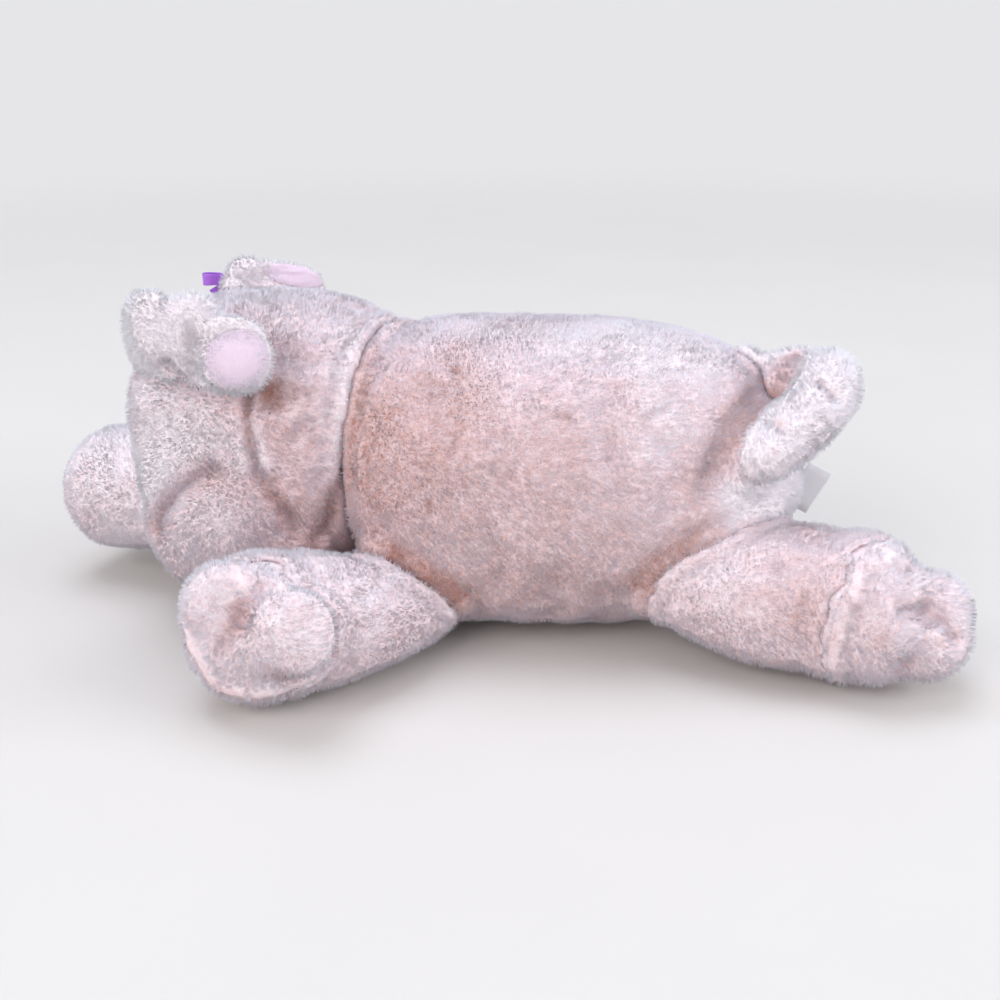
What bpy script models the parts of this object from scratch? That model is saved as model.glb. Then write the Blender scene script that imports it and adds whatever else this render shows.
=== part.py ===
"""Plush pig lying on its belly with its legs spread, its face turned to its right and its tail curled.

Metres, +Z up. The snout points to -X, the tail to +X and the pig's left side faces -Y.
The origin is the middle of the flat patch on which the belly rests.

Every stuffed piece is a cover, open where it is sewn to its neighbour, round a filling of fibre.
"""

import math

import bmesh
import bpy
import numpy as np
from mathutils import Matrix, Vector

# Fabric, filling and clearances
COVER = 0.0045
GAP = 0.0003
SEAM_GAP = 0.0005
PRESS = 0.0005
SEAM_REACH = 0.001
OVERRUN = 0.001
BISECT_NEAR = 0.000001
WELD_NEAR = 0.000002

# Body
BODY_LENGTH = 0.2110
BODY_WIDTH = 0.148
BODY_HEIGHT = 0.1455
BODY_FRONT = -0.067
BODY_NECK_CAP = 0.017
BODY_RUMP_CAP = 0.046
BODY_SQUARE = 2.4
NECK_HINGE_AHEAD = 0.0136
NECK_HINGE_ABOVE = 0.0030

# Head
HEAD_LENGTH = 0.1280
HEAD_WIDTH = 0.125
HEAD_HEIGHT = 0.150
HEAD_TURN = 20.0
CHIN_LIFT = 0.005
NECK_AHEAD = 0.0190
NECK_Y = -0.0080
HEAD_NECK_CAP = 0.019
HEAD_FACE_CAP = 0.028
HEAD_SQUARE = 2.9

# Snout, nose disc and nostrils
SNOUT_DIAMETER = 0.068
SNOUT_REACH = 0.0525
SNOUT_ROOT = 0.0240
SNOUT_ROOT_HEIGHT = 0.050
SNOUT_TIP_HEIGHT = 0.042
SNOUT_CAP = 0.012
SNOUT_FLAT_SHARE = 0.72
NOSE_DISC_DIAMETER = 0.046
NOSE_DISC_THICKNESS = 0.002
NOSTRIL_WIDTH = 0.007
NOSTRIL_HEIGHT = 0.011
NOSTRIL_THICKNESS = 0.001
NOSTRIL_SPACING = 0.019

# Eyes
EYE_DIAMETER = 0.012
EYE_DOME = 0.0045
EYE_SHANK_DIAMETER = 0.004
EYE_SHANK_TAIL = 0.0035
WASHER_DIAMETER = 0.012
WASHER_THICKNESS = 0.0012
WASHER_SAG = 0.0007
EYE_ALONG_SHARE = 0.965
EYE_RISE_ANGLE = 44.0

# Front legs
FRONT_LEG_LENGTH = 0.117
FRONT_LEG_WIDTH = 0.069
FRONT_LEG_HEIGHT = 0.069
FRONT_LEG_SPLAY = 0.040
FRONT_TURN = 180.0
FRONT_HIP_BEHIND = 0.0490
FRONT_HIP_IN = 0.0240
FRONT_LEG_ROOT_CAP = 0.012
FRONT_LEG_END_CAP = 0.030
FRONT_HEEL_DIAMETER = 0.060
FRONT_HEEL_ALONG = 0.083
FRONT_HEEL_OUT = 0.048
FRONT_HEEL_HEIGHT = 0.036
FRONT_TOE_SPREAD = 0.028
FRONT_UPPER_TOE_DIAMETER = 0.036
FRONT_UPPER_TOE_OUT = 0.006
FRONT_UPPER_TOE_RISE = 0.0155
FRONT_LOWER_TOE_DIAMETER = 0.042
FRONT_LOWER_TOE_OUT = 0.013
FRONT_LOWER_TOE_RISE = 0.003
FRONT_HINGE_BEHIND = 0.0185
FRONT_HINGE_IN = 0.0035
FRONT_HINGE_Z = 0.0495
FAR_FRONT_TURN = 140.0
FAR_FRONT_HIP_BEHIND = 0.0410
FAR_FRONT_HIP_IN = 0.0340
FAR_FRONT_HINGE_BEHIND = 0.0325
FAR_FRONT_HINGE_IN = 0.0030
FAR_FRONT_HINGE_Z = 0.0512

# Hind legs
HIND_LEG_LENGTH = 0.1190
HIND_LEG_WIDTH = 0.069
HIND_LEG_HEIGHT = 0.071
HIND_LEG_SPLAY = 0.018
HIND_TURN = 0.0
HIND_HIP_BEFORE = 0.0810
HIND_HIP_IN = 0.0240
HIND_LEG_ROOT_CAP = 0.018
HIND_LEG_END_CAP = 0.016
HIND_HEEL_DIAMETER = 0.066
HIND_HEEL_ALONG = 0.097
HIND_HEEL_OUT = 0.028
HIND_HEEL_HEIGHT = 0.0335
HIND_TOE_DIAMETER = 0.042
HIND_UPPER_TOE_AHEAD = 0.0255
HIND_UPPER_TOE_OUT = 0.001
HIND_UPPER_TOE_RISE = 0.0010
HIND_LOWER_TOE_AHEAD = 0.0230
HIND_LOWER_TOE_OUT = 0.009
HIND_LOWER_TOE_DROP = 0.0065
HIND_HINGE_BEFORE = 0.0510
HIND_HINGE_IN = 0.0060
HIND_HINGE_Z = 0.0625
FAR_HIND_TURN = 98.0
FAR_HIND_HIP_BEFORE = 0.0500
FAR_HIND_HIP_IN = 0.0400
FAR_HIND_HINGE_BEFORE = 0.0600
FAR_HIND_HINGE_OUT = 0.0010
FAR_HIND_HINGE_Z = 0.0645
LEG_SQUARE = 2.15

# Tail
TAIL_THICKNESS = 0.035
TAIL_ROOT_BEFORE = 0.0320
TAIL_ROOT_BELOW = 0.0215
TAIL_HINGE_Y = 0.0050
TAIL_HINGE_BELOW = 0.0202
TAIL_REACH = 0.038
TAIL_CURL_OUT = 0.068
TAIL_RISE = 0.006
TAIL_DROP = 0.032
TAIL_ROOT_CAP = 0.006
TAIL_CAP = 0.013

# Ears
EAR_WIDTH = 0.038
EAR_THICKNESS = 0.014
EAR_LINING_THICKNESS = 0.0025
EAR_LINING_WIDTH = 0.024
EAR_LENGTH = 0.055
EAR_CAP = 0.012
# An ear's place: ahead of the neck and sideways as shares of the head's length and width
NEAR_EAR_PLACE_SHARES = (0.7734, -0.0480)
NEAR_EAR_HINGE_SHARES = (0.7969, -0.0480)
NEAR_EAR_BELOW = 0.0070
NEAR_EAR_HINGE_BELOW = 0.0050
FAR_EAR_PLACE_SHARES = (0.6609, 0.3680)
FAR_EAR_HINGE_SHARES = (0.6609, 0.3480)
FAR_EAR_BELOW = 0.0120
FAR_EAR_HINGE_BELOW = 0.0075

# Ribbon bow at the foot of the right ear
RIBBON_WIDTH = 0.007
RIBBON_THICKNESS = 0.0006
BOW_LOOP_LENGTH = 0.0155
BOW_LOOP_HEIGHT = 0.0090
BOW_TAIL_LENGTH = 0.0140
BOW_TAIL_SLOPE = 34.0
BOW_TAIL_WAVE = 0.0015
BOW_PINCH_SHARE = 0.35
BOW_NOTCH = 0.003
BOW_KNOT_DIAMETER = 0.007
BOW_TURN = 188.0
BOW_PLACE_SHARES = (0.6914, 0.5776)
BOW_BELOW = 0.0050

# Care label
LABEL_LENGTH = 0.015
LABEL_WIDTH = 0.016
LABEL_SHEET = 0.0004
LABEL_FOLD_GAP = 0.0004
LABEL_TILT = -20.0
LABEL_BEFORE = 0.0032
LABEL_HINGE_BEYOND = 0.0007
LABEL_Y = -0.008
LABEL_Z = 0.0625

# Counts of segments
# Sides, rings along the middle and rings in each round end
BODY_FACETS = (20, 7, 3)
HEAD_FACETS = (18, 5, 3)
SNOUT_FACETS = (14, 2, 2)
LEG_FACETS = (12, 5, 3)
TAIL_FACETS = (10, 5, 2)
EAR_FACETS = (12, 8, 3)
INNER_FACETS = (10, 3, 2)
FINE_INNER_FACETS = (8, 4, 3)
TOE_FACETS = (10, 6)
DISC_SIDES = 16
ROD_SIDES = 10
KNOT_SIDES = 12
KNOT_RINGS = 6
SMOOTH_ANGLE = 40.0
ANGLE_STEP = 1.0
RIGHT_ANGLE = 90.0
LOOP_POINTS = 20
TAIL_POINTS = 6

# Rows of a stuffed form: along, sideways and rise of its middle, then its half width and half height.
# All are shares, of length, splay or width, height, half width and half height.
BODY_ROW_SHARES = (
    (0.00, 0.060, 0.475, 0.88, 0.93),
    (0.20, 0.015, 0.500, 0.96, 1.00),
    (0.42, 0.0, 0.500, 1.00, 1.00),
    (0.62, 0.0, 0.492, 0.98, 0.985),
    (0.80, 0.0, 0.455, 0.88, 0.900),
    (1.00, 0.0, 0.380, 0.66, 0.70),
)
HEAD_ROW_SHARES = (
    (0.00, 0.0, 0.475, 0.84, 0.84),
    (0.25, 0.0, 0.490, 0.98, 0.985),
    (0.50, 0.0, 0.500, 1.00, 1.00),
    (0.75, 0.0, 0.490, 0.98, 0.97),
    (1.00, 0.0, 0.475, 0.93, 0.93),
)
FRONT_LEG_ROW_SHARES = (
    (0.00, 0.00, 0.235, 0.30, 0.34),
    (0.21, 0.20, 0.345, 0.65, 0.66),
    (0.42, 0.62, 0.440, 0.87, 0.88),
    (0.63, 0.92, 0.495, 1.00, 0.99),
    (0.83, 1.00, 0.495, 0.985, 0.99),
    (1.00, 1.00, 0.480, 0.87, 0.90),
)
HIND_LEG_ROW_SHARES = (
    (0.00, 0.00, 0.42, 0.56, 0.56),
    (0.22, 0.35, 0.50, 0.80, 0.78),
    (0.44, 0.65, 0.51, 0.98, 0.98),
    (0.66, 0.95, 0.50, 1.00, 1.00),
    (0.84, 1.00, 0.49, 0.97, 0.97),
    (1.00, 0.80, 0.50, 0.90, 0.88),
)
# Rows of the tail: along, outwards and up from its root, then its radius.
# All are shares, of reach, curl, rise or drop, and half thickness.
TAIL_STRIP_ROW_SHARES = (
    (0.00, 0.00, 0.00, 0.45),
    (0.38, 0.06, 0.47, 0.43),
    (0.70, 0.18, 1.00, 0.52),
    (0.95, 0.30, 0.90, 0.50),
)
TAIL_CURL_ROW_SHARES = (
    (1.02, 0.24, 2.60, 0.72),
    (0.98, 0.32, 0.60, 0.90),
    (0.86, 0.50, -0.17, 1.00),
    (0.43, 0.735, -0.50, 0.94),
    (0.065, 0.91, -0.77, 0.80),
    (-0.18, 1.00, -1.00, 0.70),
)
# Rows of an ear: along, outwards and up from its root, then its half width and half thickness.
# The first three are shares of the ear's length.
NEAR_EAR_ROW_SHARES = (
    (0.00, 0.00, 0.00, 0.55, 0.80),
    (-0.16, 0.29, 0.02, 0.88, 1.00),
    (-0.14, 0.62, -0.02, 0.92, 1.00),
    (0.25, 0.84, -0.08, 0.88, 0.95),
    (0.64, 0.91, -0.10, 1.04, 0.90),
    (0.98, 0.87, -0.11, 0.86, 0.80),
)
FAR_EAR_ROW_SHARES = (
    (0.00, 0.00, 0.00, 0.48, 0.80),
    (-0.04, 0.22, 0.11, 0.70, 1.00),
    (0.15, 0.30, 0.13, 0.72, 0.95),
    (0.47, 0.30, 0.11, 0.68, 0.85),
    (0.82, 0.26, 0.05, 0.60, 0.75),
)

PLUSH = ((0.93, 0.72, 0.68), 0.95)
FIBRE = ((0.95, 0.95, 0.93), 0.95)
LINING = ((0.90, 0.66, 0.70), 0.70)
FELT = ((0.86, 0.52, 0.50), 0.90)
SATIN = ((0.45, 0.16, 0.55), 0.40)
LABEL_CLOTH = ((0.92, 0.93, 0.93), 0.60)
GLOSS_BLACK = ((0.02, 0.02, 0.02), 0.15)
WHITE_PLASTIC = ((0.85, 0.85, 0.85), 0.45)

# Pieces whose forms fold back into themselves where they bend
FOLDED = ("left_ear", "right_ear", "tail", "bow")

UP = Vector((0, 0, 1))

# Places that follow from the sizes above
BODY_END = BODY_FRONT + BODY_LENGTH
BODY_SIDE = BODY_WIDTH / 2
HEAD_TOP = CHIN_LIFT + HEAD_HEIGHT
NECK_X = BODY_FRONT + NECK_AHEAD
TAIL_ROOT_X = BODY_END - TAIL_ROOT_BEFORE
TAIL_ROOT_Z = BODY_HEIGHT - TAIL_ROOT_BELOW
LABEL_X = BODY_END - LABEL_BEFORE


def clear_scene():
    """Removes every object of the scene."""
    for obj in list(bpy.data.objects):
        bpy.data.objects.remove(obj, do_unlink=True)


def material(name, finish):
    """A plain Principled material of this colour and roughness."""
    colour, roughness = finish
    made = bpy.data.materials.new(name)
    made.use_nodes = True
    shader = made.node_tree.nodes["Principled BSDF"]
    shader.inputs["Base Color"].default_value = (*colour, 1)
    shader.inputs["Roughness"].default_value = roughness
    return made


def empty(name, place):
    """An empty that stands on a joint's axis."""
    made = bpy.data.objects.new(name, None)
    made.location = place
    bpy.context.scene.collection.objects.link(made)
    return made


def add_object(name, mesh, finish, parent=None):
    """Links a mesh given in world places, under the empty of the body that it moves with."""
    made = bpy.data.objects.new(name, mesh)
    bpy.context.scene.collection.objects.link(made)
    if parent is not None:
        mesh.transform(Matrix.Translation(-parent.location))
        made.parent = parent
    mesh.materials.append(material(name, finish))
    mesh.shade_smooth()
    mesh.set_sharp_from_angle(angle=math.radians(SMOOTH_ANGLE))
    return made


def add_cutter(name, mesh):
    """Links a mesh that only cuts others."""
    made = bpy.data.objects.new(name, mesh)
    bpy.context.scene.collection.objects.link(made)
    made.hide_render = True
    made.display_type = "WIRE"
    return made


def boolean(obj, other, operation="DIFFERENCE"):
    """Adds a Boolean modifier."""
    made = obj.modifiers.new(f"{operation.lower()} {other.name}", "BOOLEAN")
    made.operation = operation
    made.object = other
    made.solver = "EXACT"
    made.use_self = obj.name.startswith(FOLDED)


def cut_all(obj, cutters):
    """Cuts the object by each of these."""
    for cutter in cutters:
        boolean(obj, cutter)


def clean_cuts():
    """Ends every cut piece with even triangles and no slivers."""
    for obj in bpy.data.objects:
        if obj.type != "MESH" or obj.hide_render:
            continue
        triangles = obj.modifiers.new("triangles", "TRIANGULATE")
        triangles.ngon_method = "BEAUTY"
        weld = obj.modifiers.new("weld", "WELD")
        weld.merge_threshold = WELD_NEAR


def smooth_rows(rows, count):
    """Rows read along a Catmull-Rom curve at evenly spaced places."""
    rows = np.asarray(rows, float)
    first = 2 * rows[0] - rows[1]
    last = 2 * rows[-1] - rows[-2]
    padded = np.vstack([first, rows, last])
    spans = len(rows) - 1
    out = []
    for share in np.linspace(0, 1, count):
        at = min(share * spans, spans - 1e-9)
        k = int(at)
        t = at - k
        a, b, c, d = padded[k : k + 4]
        pull = (2 * a - 5 * b + 4 * c - d) * t**2
        turn = (3 * b - a - 3 * c + d) * t**3
        out.append((2 * b + (c - a) * t + pull + turn) / 2)
    return np.array(out)


class Form:
    """A stuffed form that swells and tapers along a curved middle line."""

    FINE = 200

    def __init__(self, rows, caps, square, carried=False, flat_end=0.0):
        """rows hold x, y, z, half width and half height; caps are the lengths of the round ends."""
        self.rows = smooth_rows(rows, self.FINE)
        self.caps = caps
        self.square = square
        self.flat_end = flat_end
        steps = np.linalg.norm(np.diff(self.rows[:, :3], axis=0), axis=1)
        self.run = np.concatenate([[0], np.cumsum(steps)])
        self.length = self.run[-1]
        self.frames = self._frames(carried)

    def _frames(self, carried):
        """Tangent, side and upward direction at each fine row."""
        tangents = np.gradient(self.rows[:, :3], self.run, axis=0)
        tangents /= np.linalg.norm(tangents, axis=1)[:, None]
        side = np.cross(tangents[0], UP)
        side /= np.linalg.norm(side)
        frames = []
        for tangent in tangents:
            side = side - tangent * side.dot(tangent) if carried else np.cross(tangent, UP)
            side /= np.linalg.norm(side)
            frames.append((tangent, side, np.cross(side, tangent)))
        return np.array(frames)

    def row_at(self, run):
        """Middle, half sizes and frame at this run, straight on past either end."""
        inside = min(max(run, 0), self.length)
        row = np.array([np.interp(inside, self.run, self.rows[:, k]) for k in range(5)])
        frame = self.frames[int(round(np.interp(inside, self.run, np.arange(self.FINE))))]
        return row[:3] + frame[0] * (run - inside), row[3:], frame

    def ring(self, run, swell, grow, inset, segments):
        """The points round one section; grow swells or shrinks it evenly and inset draws it in."""
        middle, half, frame = self.row_at(run)
        turns = np.linspace(0, 2 * math.pi, segments, endpoint=False)
        across = np.sign(np.cos(turns)) * np.abs(np.cos(turns)) ** (2 / self.square)
        upward = np.sign(np.sin(turns)) * np.abs(np.sin(turns)) ** (2 / self.square)
        half = (half + grow) * swell - inset
        return middle + np.outer(across * half[0], frame[1]) + np.outer(upward * half[1], frame[2])

    def rings(self, grow, reach, rings, cap_rings):
        """Run and swell of each ring, close together in the round ends."""
        start = -grow - reach
        stop = self.length + grow
        first = self.caps[0] if reach else max(self.caps[0] + grow, self.caps[0] / 2)
        last = max(self.caps[1] + grow, self.caps[1] / 2)
        quarter = [math.pi / 2 * (k + 1) / cap_rings for k in range(cap_rings)]
        places = [(start + first * (1 - math.cos(q)), math.sin(q)) for q in quarter]
        for k in range(1, rings):
            places.append((start + first + (stop - last - start - first) * k / rings, 1.0))
        flat = self.flat_end
        for q in reversed(quarter):
            places.append((stop - last * (1 - math.cos(q)), flat + (1 - flat) * math.sin(q)))
        if flat:
            places.append((stop, flat))
        return start, stop, places

    def mesh(self, name, facets, grow=0.0, reach=0.0, inset=0.0, floor=None):
        """A closed mesh of the form, cut level at the floor where one is given."""
        segments, rings, cap_rings = facets
        start, stop, places = self.rings(grow, reach, rings, cap_rings)
        shape = bmesh.new()
        loops = []
        for run, swell in places:
            loops.append([shape.verts.new(p) for p in self.ring(run, swell, grow, inset, segments)])
        for one, two in zip(loops, loops[1:]):
            for k in range(segments):
                after = (k + 1) % segments
                shape.faces.new((one[k], one[after], two[after], two[k]))
        for pole, loop in ((start + inset, loops[0]), (stop - inset, loops[-1])):
            tip = shape.verts.new(self.row_at(pole)[0])
            for k in range(segments):
                shape.faces.new((tip, loop[k], loop[(k + 1) % segments]))
        if floor is not None:
            cut_level(shape, floor)
        return finished_mesh(name, shape)

    def surface(self, share, turn):
        """Point and outward normal of the outer face at a share of the length and a turn in degrees."""
        run = self.length * share
        step = self.length / self.FINE

        def point(at, angle):
            swell = 1.0
            if at < self.caps[0]:
                swell = math.sqrt(1 - (1 - at / self.caps[0]) ** 2)
            if at > self.length - self.caps[1]:
                swell = math.sqrt(1 - (1 - (self.length - at) / self.caps[1]) ** 2)
            middle, half, frame = self.row_at(at)
            c, s = math.cos(angle), math.sin(angle)
            power = 2 / self.square
            x = math.copysign(abs(c) ** power, c) * half[0] * swell
            y = math.copysign(abs(s) ** power, s) * half[1] * swell
            return Vector(middle + frame[1] * x + frame[2] * y)

        angle = math.radians(turn)
        here = point(run, angle)
        along = point(run + step, angle) - here
        around = point(run, angle + math.radians(ANGLE_STEP)) - here
        normal = along.cross(around).normalized()
        outward = here - Vector(self.row_at(self.length / 2)[0])
        return here, normal if normal.dot(outward) > 0 else -normal


def cut_level(shape, floor):
    """Cuts off what lies below the floor and closes the cut with one flat face."""
    geometry = shape.verts[:] + shape.edges[:] + shape.faces[:]
    cut = bmesh.ops.bisect_plane(
        shape, geom=geometry, plane_co=(0, 0, floor), plane_no=-UP, clear_outer=True
    )
    rim = [edge for edge in cut["geom_cut"] if isinstance(edge, bmesh.types.BMEdge)]
    if rim:
        bmesh.ops.contextual_create(shape, geom=rim)


def finished_mesh(name, shape):
    """Turns the faces outwards and makes a mesh of the shape."""
    bmesh.ops.recalc_face_normals(shape, faces=shape.faces)
    bmesh.ops.triangulate(shape, faces=shape.faces[:])
    mesh = bpy.data.meshes.new(name)
    shape.to_mesh(mesh)
    shape.free()
    return mesh


def pointing(place, direction):
    """The matrix that stands +Z along a direction at a place."""
    return Matrix.Translation(place) @ Vector(direction).to_track_quat("Z", "Y").to_matrix().to_4x4()


def disc_mesh(name, place, direction, diameter, thickness, stretch=(1, 1), sides=DISC_SIDES):
    """A flat round or oval piece that starts at a place and thickens along a direction."""
    shape = bmesh.new()
    bmesh.ops.create_cone(
        shape,
        cap_ends=True,
        segments=sides,
        radius1=diameter / 2,
        radius2=diameter / 2,
        depth=thickness,
        matrix=pointing(place + direction * thickness / 2, direction) @ Matrix.Diagonal((*stretch, 1, 1)),
    )
    return finished_mesh(name, shape)


def rod_mesh(name, place, direction, diameter, length):
    """A round rod that starts at a place."""
    return disc_mesh(name, place, direction, diameter, length, sides=ROD_SIDES)


def stuffed(name, forms, facets, cutters, parent, inner=INNER_FACETS, floor=None, open_end=False):
    """The cover of a stuffed piece, open where it is cut or at its root, and the filling inside it."""
    inner_floor = None if floor is None else floor + COVER
    core_floor = None if floor is None else floor + COVER + GAP
    solids = {"cover": [], "hollow": [], "filling": []}
    for number, form in enumerate(forms):
        solids["cover"].append(form.mesh(f"{name}_cover_{number}", facets, floor=floor))
        reach = SEAM_REACH + COVER if open_end else 0
        hollow = form.mesh(f"{name}_hollow_{number}", inner, -COVER, reach, floor=inner_floor)
        solids["hollow"].append(hollow)
        core = form.mesh(f"{name}_filling_{number}", inner, -COVER, reach, GAP, core_floor)
        solids["filling"].append(core)
    cover = add_object(f"{name}_cover", solids["cover"][0], PLUSH, parent)
    filling = add_object(f"{name}_filling", solids["filling"][0], FIBRE, parent)
    for mesh in solids["cover"][1:]:
        boolean(cover, add_cutter(mesh.name, mesh), "UNION")
    for mesh in solids["filling"][1:]:
        boolean(filling, add_cutter(mesh.name, mesh), "UNION")
    for mesh in solids["hollow"]:
        boolean(cover, add_cutter(mesh.name, mesh))
    cut_all(cover, cutters)
    cut_all(filling, cutters)
    return cover, filling


def body_form():
    """The body's loaf, from the neck to the rump."""
    rows = [
        (
            BODY_FRONT + BODY_LENGTH * along,
            BODY_WIDTH * aside,
            BODY_HEIGHT * rise - PRESS,
            BODY_WIDTH / 2 * wide,
            BODY_HEIGHT / 2 * high,
        )
        for along, aside, rise, wide, high in BODY_ROW_SHARES
    ]
    return Form(rows, (BODY_NECK_CAP, BODY_RUMP_CAP), BODY_SQUARE)


def head_direction():
    """The way the face points."""
    return Vector((-math.cos(math.radians(HEAD_TURN)), math.sin(math.radians(HEAD_TURN)), 0))


def head_form():
    """The head, from the neck to the face, turned to the pig's right."""
    ahead = head_direction()
    rows = []
    for along, _, rise, wide, high in HEAD_ROW_SHARES:
        middle = Vector((NECK_X, NECK_Y, CHIN_LIFT + HEAD_HEIGHT * rise)) + ahead * HEAD_LENGTH * along
        rows.append((*middle, HEAD_WIDTH / 2 * wide, HEAD_HEIGHT / 2 * high))
    return Form(rows, (HEAD_NECK_CAP, HEAD_FACE_CAP), HEAD_SQUARE)


def face_pole():
    """The middle of the face, at floor level."""
    return Vector((NECK_X, NECK_Y, 0)) + head_direction() * HEAD_LENGTH


def snout_root():
    """The middle of the snout's hidden end."""
    return face_pole() - head_direction() * SNOUT_ROOT + UP * SNOUT_ROOT_HEIGHT


def snout_tip():
    """The middle of the snout's flat end."""
    return face_pole() + head_direction() * SNOUT_REACH + UP * SNOUT_TIP_HEIGHT


def snout_direction():
    """The way the snout points."""
    return (snout_tip() - snout_root()).normalized()


def snout_form():
    """The snout, a short thick tube with a flat end."""
    half = SNOUT_DIAMETER / 2
    rows = [(*snout_root().lerp(snout_tip(), share), half, half) for share in (0, 0.5, 1)]
    return Form(rows, (SNOUT_CAP, SNOUT_CAP), 2.0, flat_end=SNOUT_FLAT_SHARE)


def nose(parent):
    """The flat disc that closes the snout, and its two nostril patches."""
    ahead = snout_direction()
    face = snout_tip() + ahead * GAP
    disc = disc_mesh("nose_disc", face, ahead, NOSE_DISC_DIAMETER, NOSE_DISC_THICKNESS)
    add_object("nose_disc", disc, PLUSH, parent)
    across = ahead.cross(UP).normalized()
    for name, side in (("left", -1), ("right", 1)):
        place = face + ahead * (NOSE_DISC_THICKNESS + GAP) + across * side * NOSTRIL_SPACING / 2
        stretch = (NOSTRIL_WIDTH / NOSTRIL_HEIGHT, 1)
        patch = disc_mesh(f"nostril_{name}", place, ahead, NOSTRIL_HEIGHT, NOSTRIL_THICKNESS, stretch)
        add_object(f"nostril_{name}", patch, FELT, parent)


def eye(name, place, outward, cover, filling, parent):
    """A safety eye: a domed button on a shank that goes through the cover to a washer behind it."""
    base = place + outward * GAP
    reach = GAP + COVER + WASHER_SAG + WASHER_THICKNESS + EYE_SHANK_TAIL
    shape = bmesh.new()
    bmesh.ops.create_uvsphere(
        shape,
        u_segments=TOE_FACETS[0],
        v_segments=TOE_FACETS[1],
        radius=1,
        matrix=pointing(base, outward) @ Matrix.Diagonal((EYE_DIAMETER / 2, EYE_DIAMETER / 2, EYE_DOME, 1)),
    )
    geometry = shape.verts[:] + shape.edges[:] + shape.faces[:]
    cut = bmesh.ops.bisect_plane(
        shape, geom=geometry, dist=BISECT_NEAR, plane_co=base, plane_no=-outward, clear_outer=True
    )
    rim = [edge for edge in cut["geom_cut"] if isinstance(edge, bmesh.types.BMEdge)]
    bmesh.ops.contextual_create(shape, geom=rim)
    button = add_object(name, finished_mesh(name, shape), GLOSS_BLACK, parent)
    top = base + outward * EYE_DOME / 2
    shank = rod_mesh(f"{name}_shank", top, -outward, EYE_SHANK_DIAMETER, reach + EYE_DOME / 2)
    boolean(button, add_cutter(f"{name}_shank", shank), "UNION")
    drill = rod_mesh(f"{name}_drill", top, -outward, EYE_SHANK_DIAMETER + 2 * GAP, reach + EYE_DOME)
    drill_cutter = add_cutter(f"{name}_drill", drill)
    seat = place - outward * (COVER + WASHER_SAG)
    washer = rod_mesh(f"{name}_washer", seat, -outward, WASHER_DIAMETER, WASHER_THICKNESS)
    ring = add_object(f"{name}_washer", washer, WHITE_PLASTIC, parent)
    boolean(ring, drill_cutter)
    pocket_depth = WASHER_THICKNESS + EYE_SHANK_TAIL + 2 * GAP
    rim_width = WASHER_DIAMETER + 2 * GAP
    pocket = rod_mesh(f"{name}_pocket", seat + outward * GAP, -outward, rim_width, pocket_depth)
    pocket_cutter = add_cutter(f"{name}_pocket", pocket)
    boolean(pocket_cutter, drill_cutter, "UNION")
    boolean(cover, pocket_cutter)
    boolean(filling, pocket_cutter)


def eyes(head, cover, filling, parent):
    """Both eyes, above the snout on either side of the face."""
    for name, turn in (("eye_left", 180 - EYE_RISE_ANGLE), ("eye_right", EYE_RISE_ANGLE)):
        place, outward = head.surface(EYE_ALONG_SHARE, turn)
        eye(name, place, outward, cover, filling, parent)


class LegFrame:
    """The way a leg points: along it, and outwards from the body."""

    def __init__(self, hip_x, hip_y, turn, side, out_turn=RIGHT_ANGLE):
        """side is -1 for the near legs and 1 for the far ones; turns are in degrees round +Z."""
        self.hip = Vector((hip_x, side * hip_y, 0))
        self.along = Matrix.Rotation(math.radians(turn), 3, "Z") @ Vector((1, 0, 0))
        self.out = Matrix.Rotation(math.radians(turn + out_turn), 3, "Z") @ Vector((1, 0, 0))

    def place(self, along, out, height):
        """World place of a leg's own measures."""
        return self.hip + self.along * along + self.out * out + UP * height


def leg_form(frame, row_shares, length, splay, width, height, caps):
    """One leg, from its root to its ankle."""
    rows = []
    for along, out, rise, wide, high in row_shares:
        middle = frame.place(length * along, splay * out, height * rise - PRESS)
        rows.append((*middle, width / 2 * wide, height / 2 * high))
    return Form(rows, caps, LEG_SQUARE)


def ball_mesh(name, place, diameter):
    """A toe or heel."""
    shape = bmesh.new()
    bmesh.ops.create_uvsphere(
        shape,
        u_segments=TOE_FACETS[0],
        v_segments=TOE_FACETS[1],
        radius=diameter / 2,
        matrix=Matrix.Translation(place),
    )
    return finished_mesh(name, shape)


def hoof(name, balls, parent):
    """A cloven hoof, and the slightly larger one that cuts its seat into the leg."""
    first = ball_mesh(name, *balls[0])
    made = add_object(name, first, PLUSH, parent)
    seat = add_cutter(f"{name}_seat", ball_mesh(f"{name}_seat", balls[0][0], balls[0][1] + 2 * GAP))
    for number, (place, diameter) in enumerate(balls[1:]):
        toe = ball_mesh(f"{name}_toe_{number}", place, diameter)
        boolean(made, add_cutter(toe.name, toe), "UNION")
        grown = ball_mesh(f"{name}_toe_seat_{number}", place, diameter + 2 * GAP)
        boolean(seat, add_cutter(grown.name, grown), "UNION")
    return seat


def front_hoof_balls(frame):
    """Heel and toes of a front hoof, which turns its sole outwards."""
    along, out, height = FRONT_HEEL_ALONG, FRONT_HEEL_OUT, FRONT_HEEL_HEIGHT
    half = FRONT_TOE_SPREAD / 2
    heel = frame.place(along, out, height)
    upper = frame.place(along + half, out + FRONT_UPPER_TOE_OUT, height + FRONT_UPPER_TOE_RISE)
    lower = frame.place(along - half, out + FRONT_LOWER_TOE_OUT, height + FRONT_LOWER_TOE_RISE)
    return (
        (heel, FRONT_HEEL_DIAMETER),
        (upper, FRONT_UPPER_TOE_DIAMETER),
        (lower, FRONT_LOWER_TOE_DIAMETER),
    )


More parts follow.
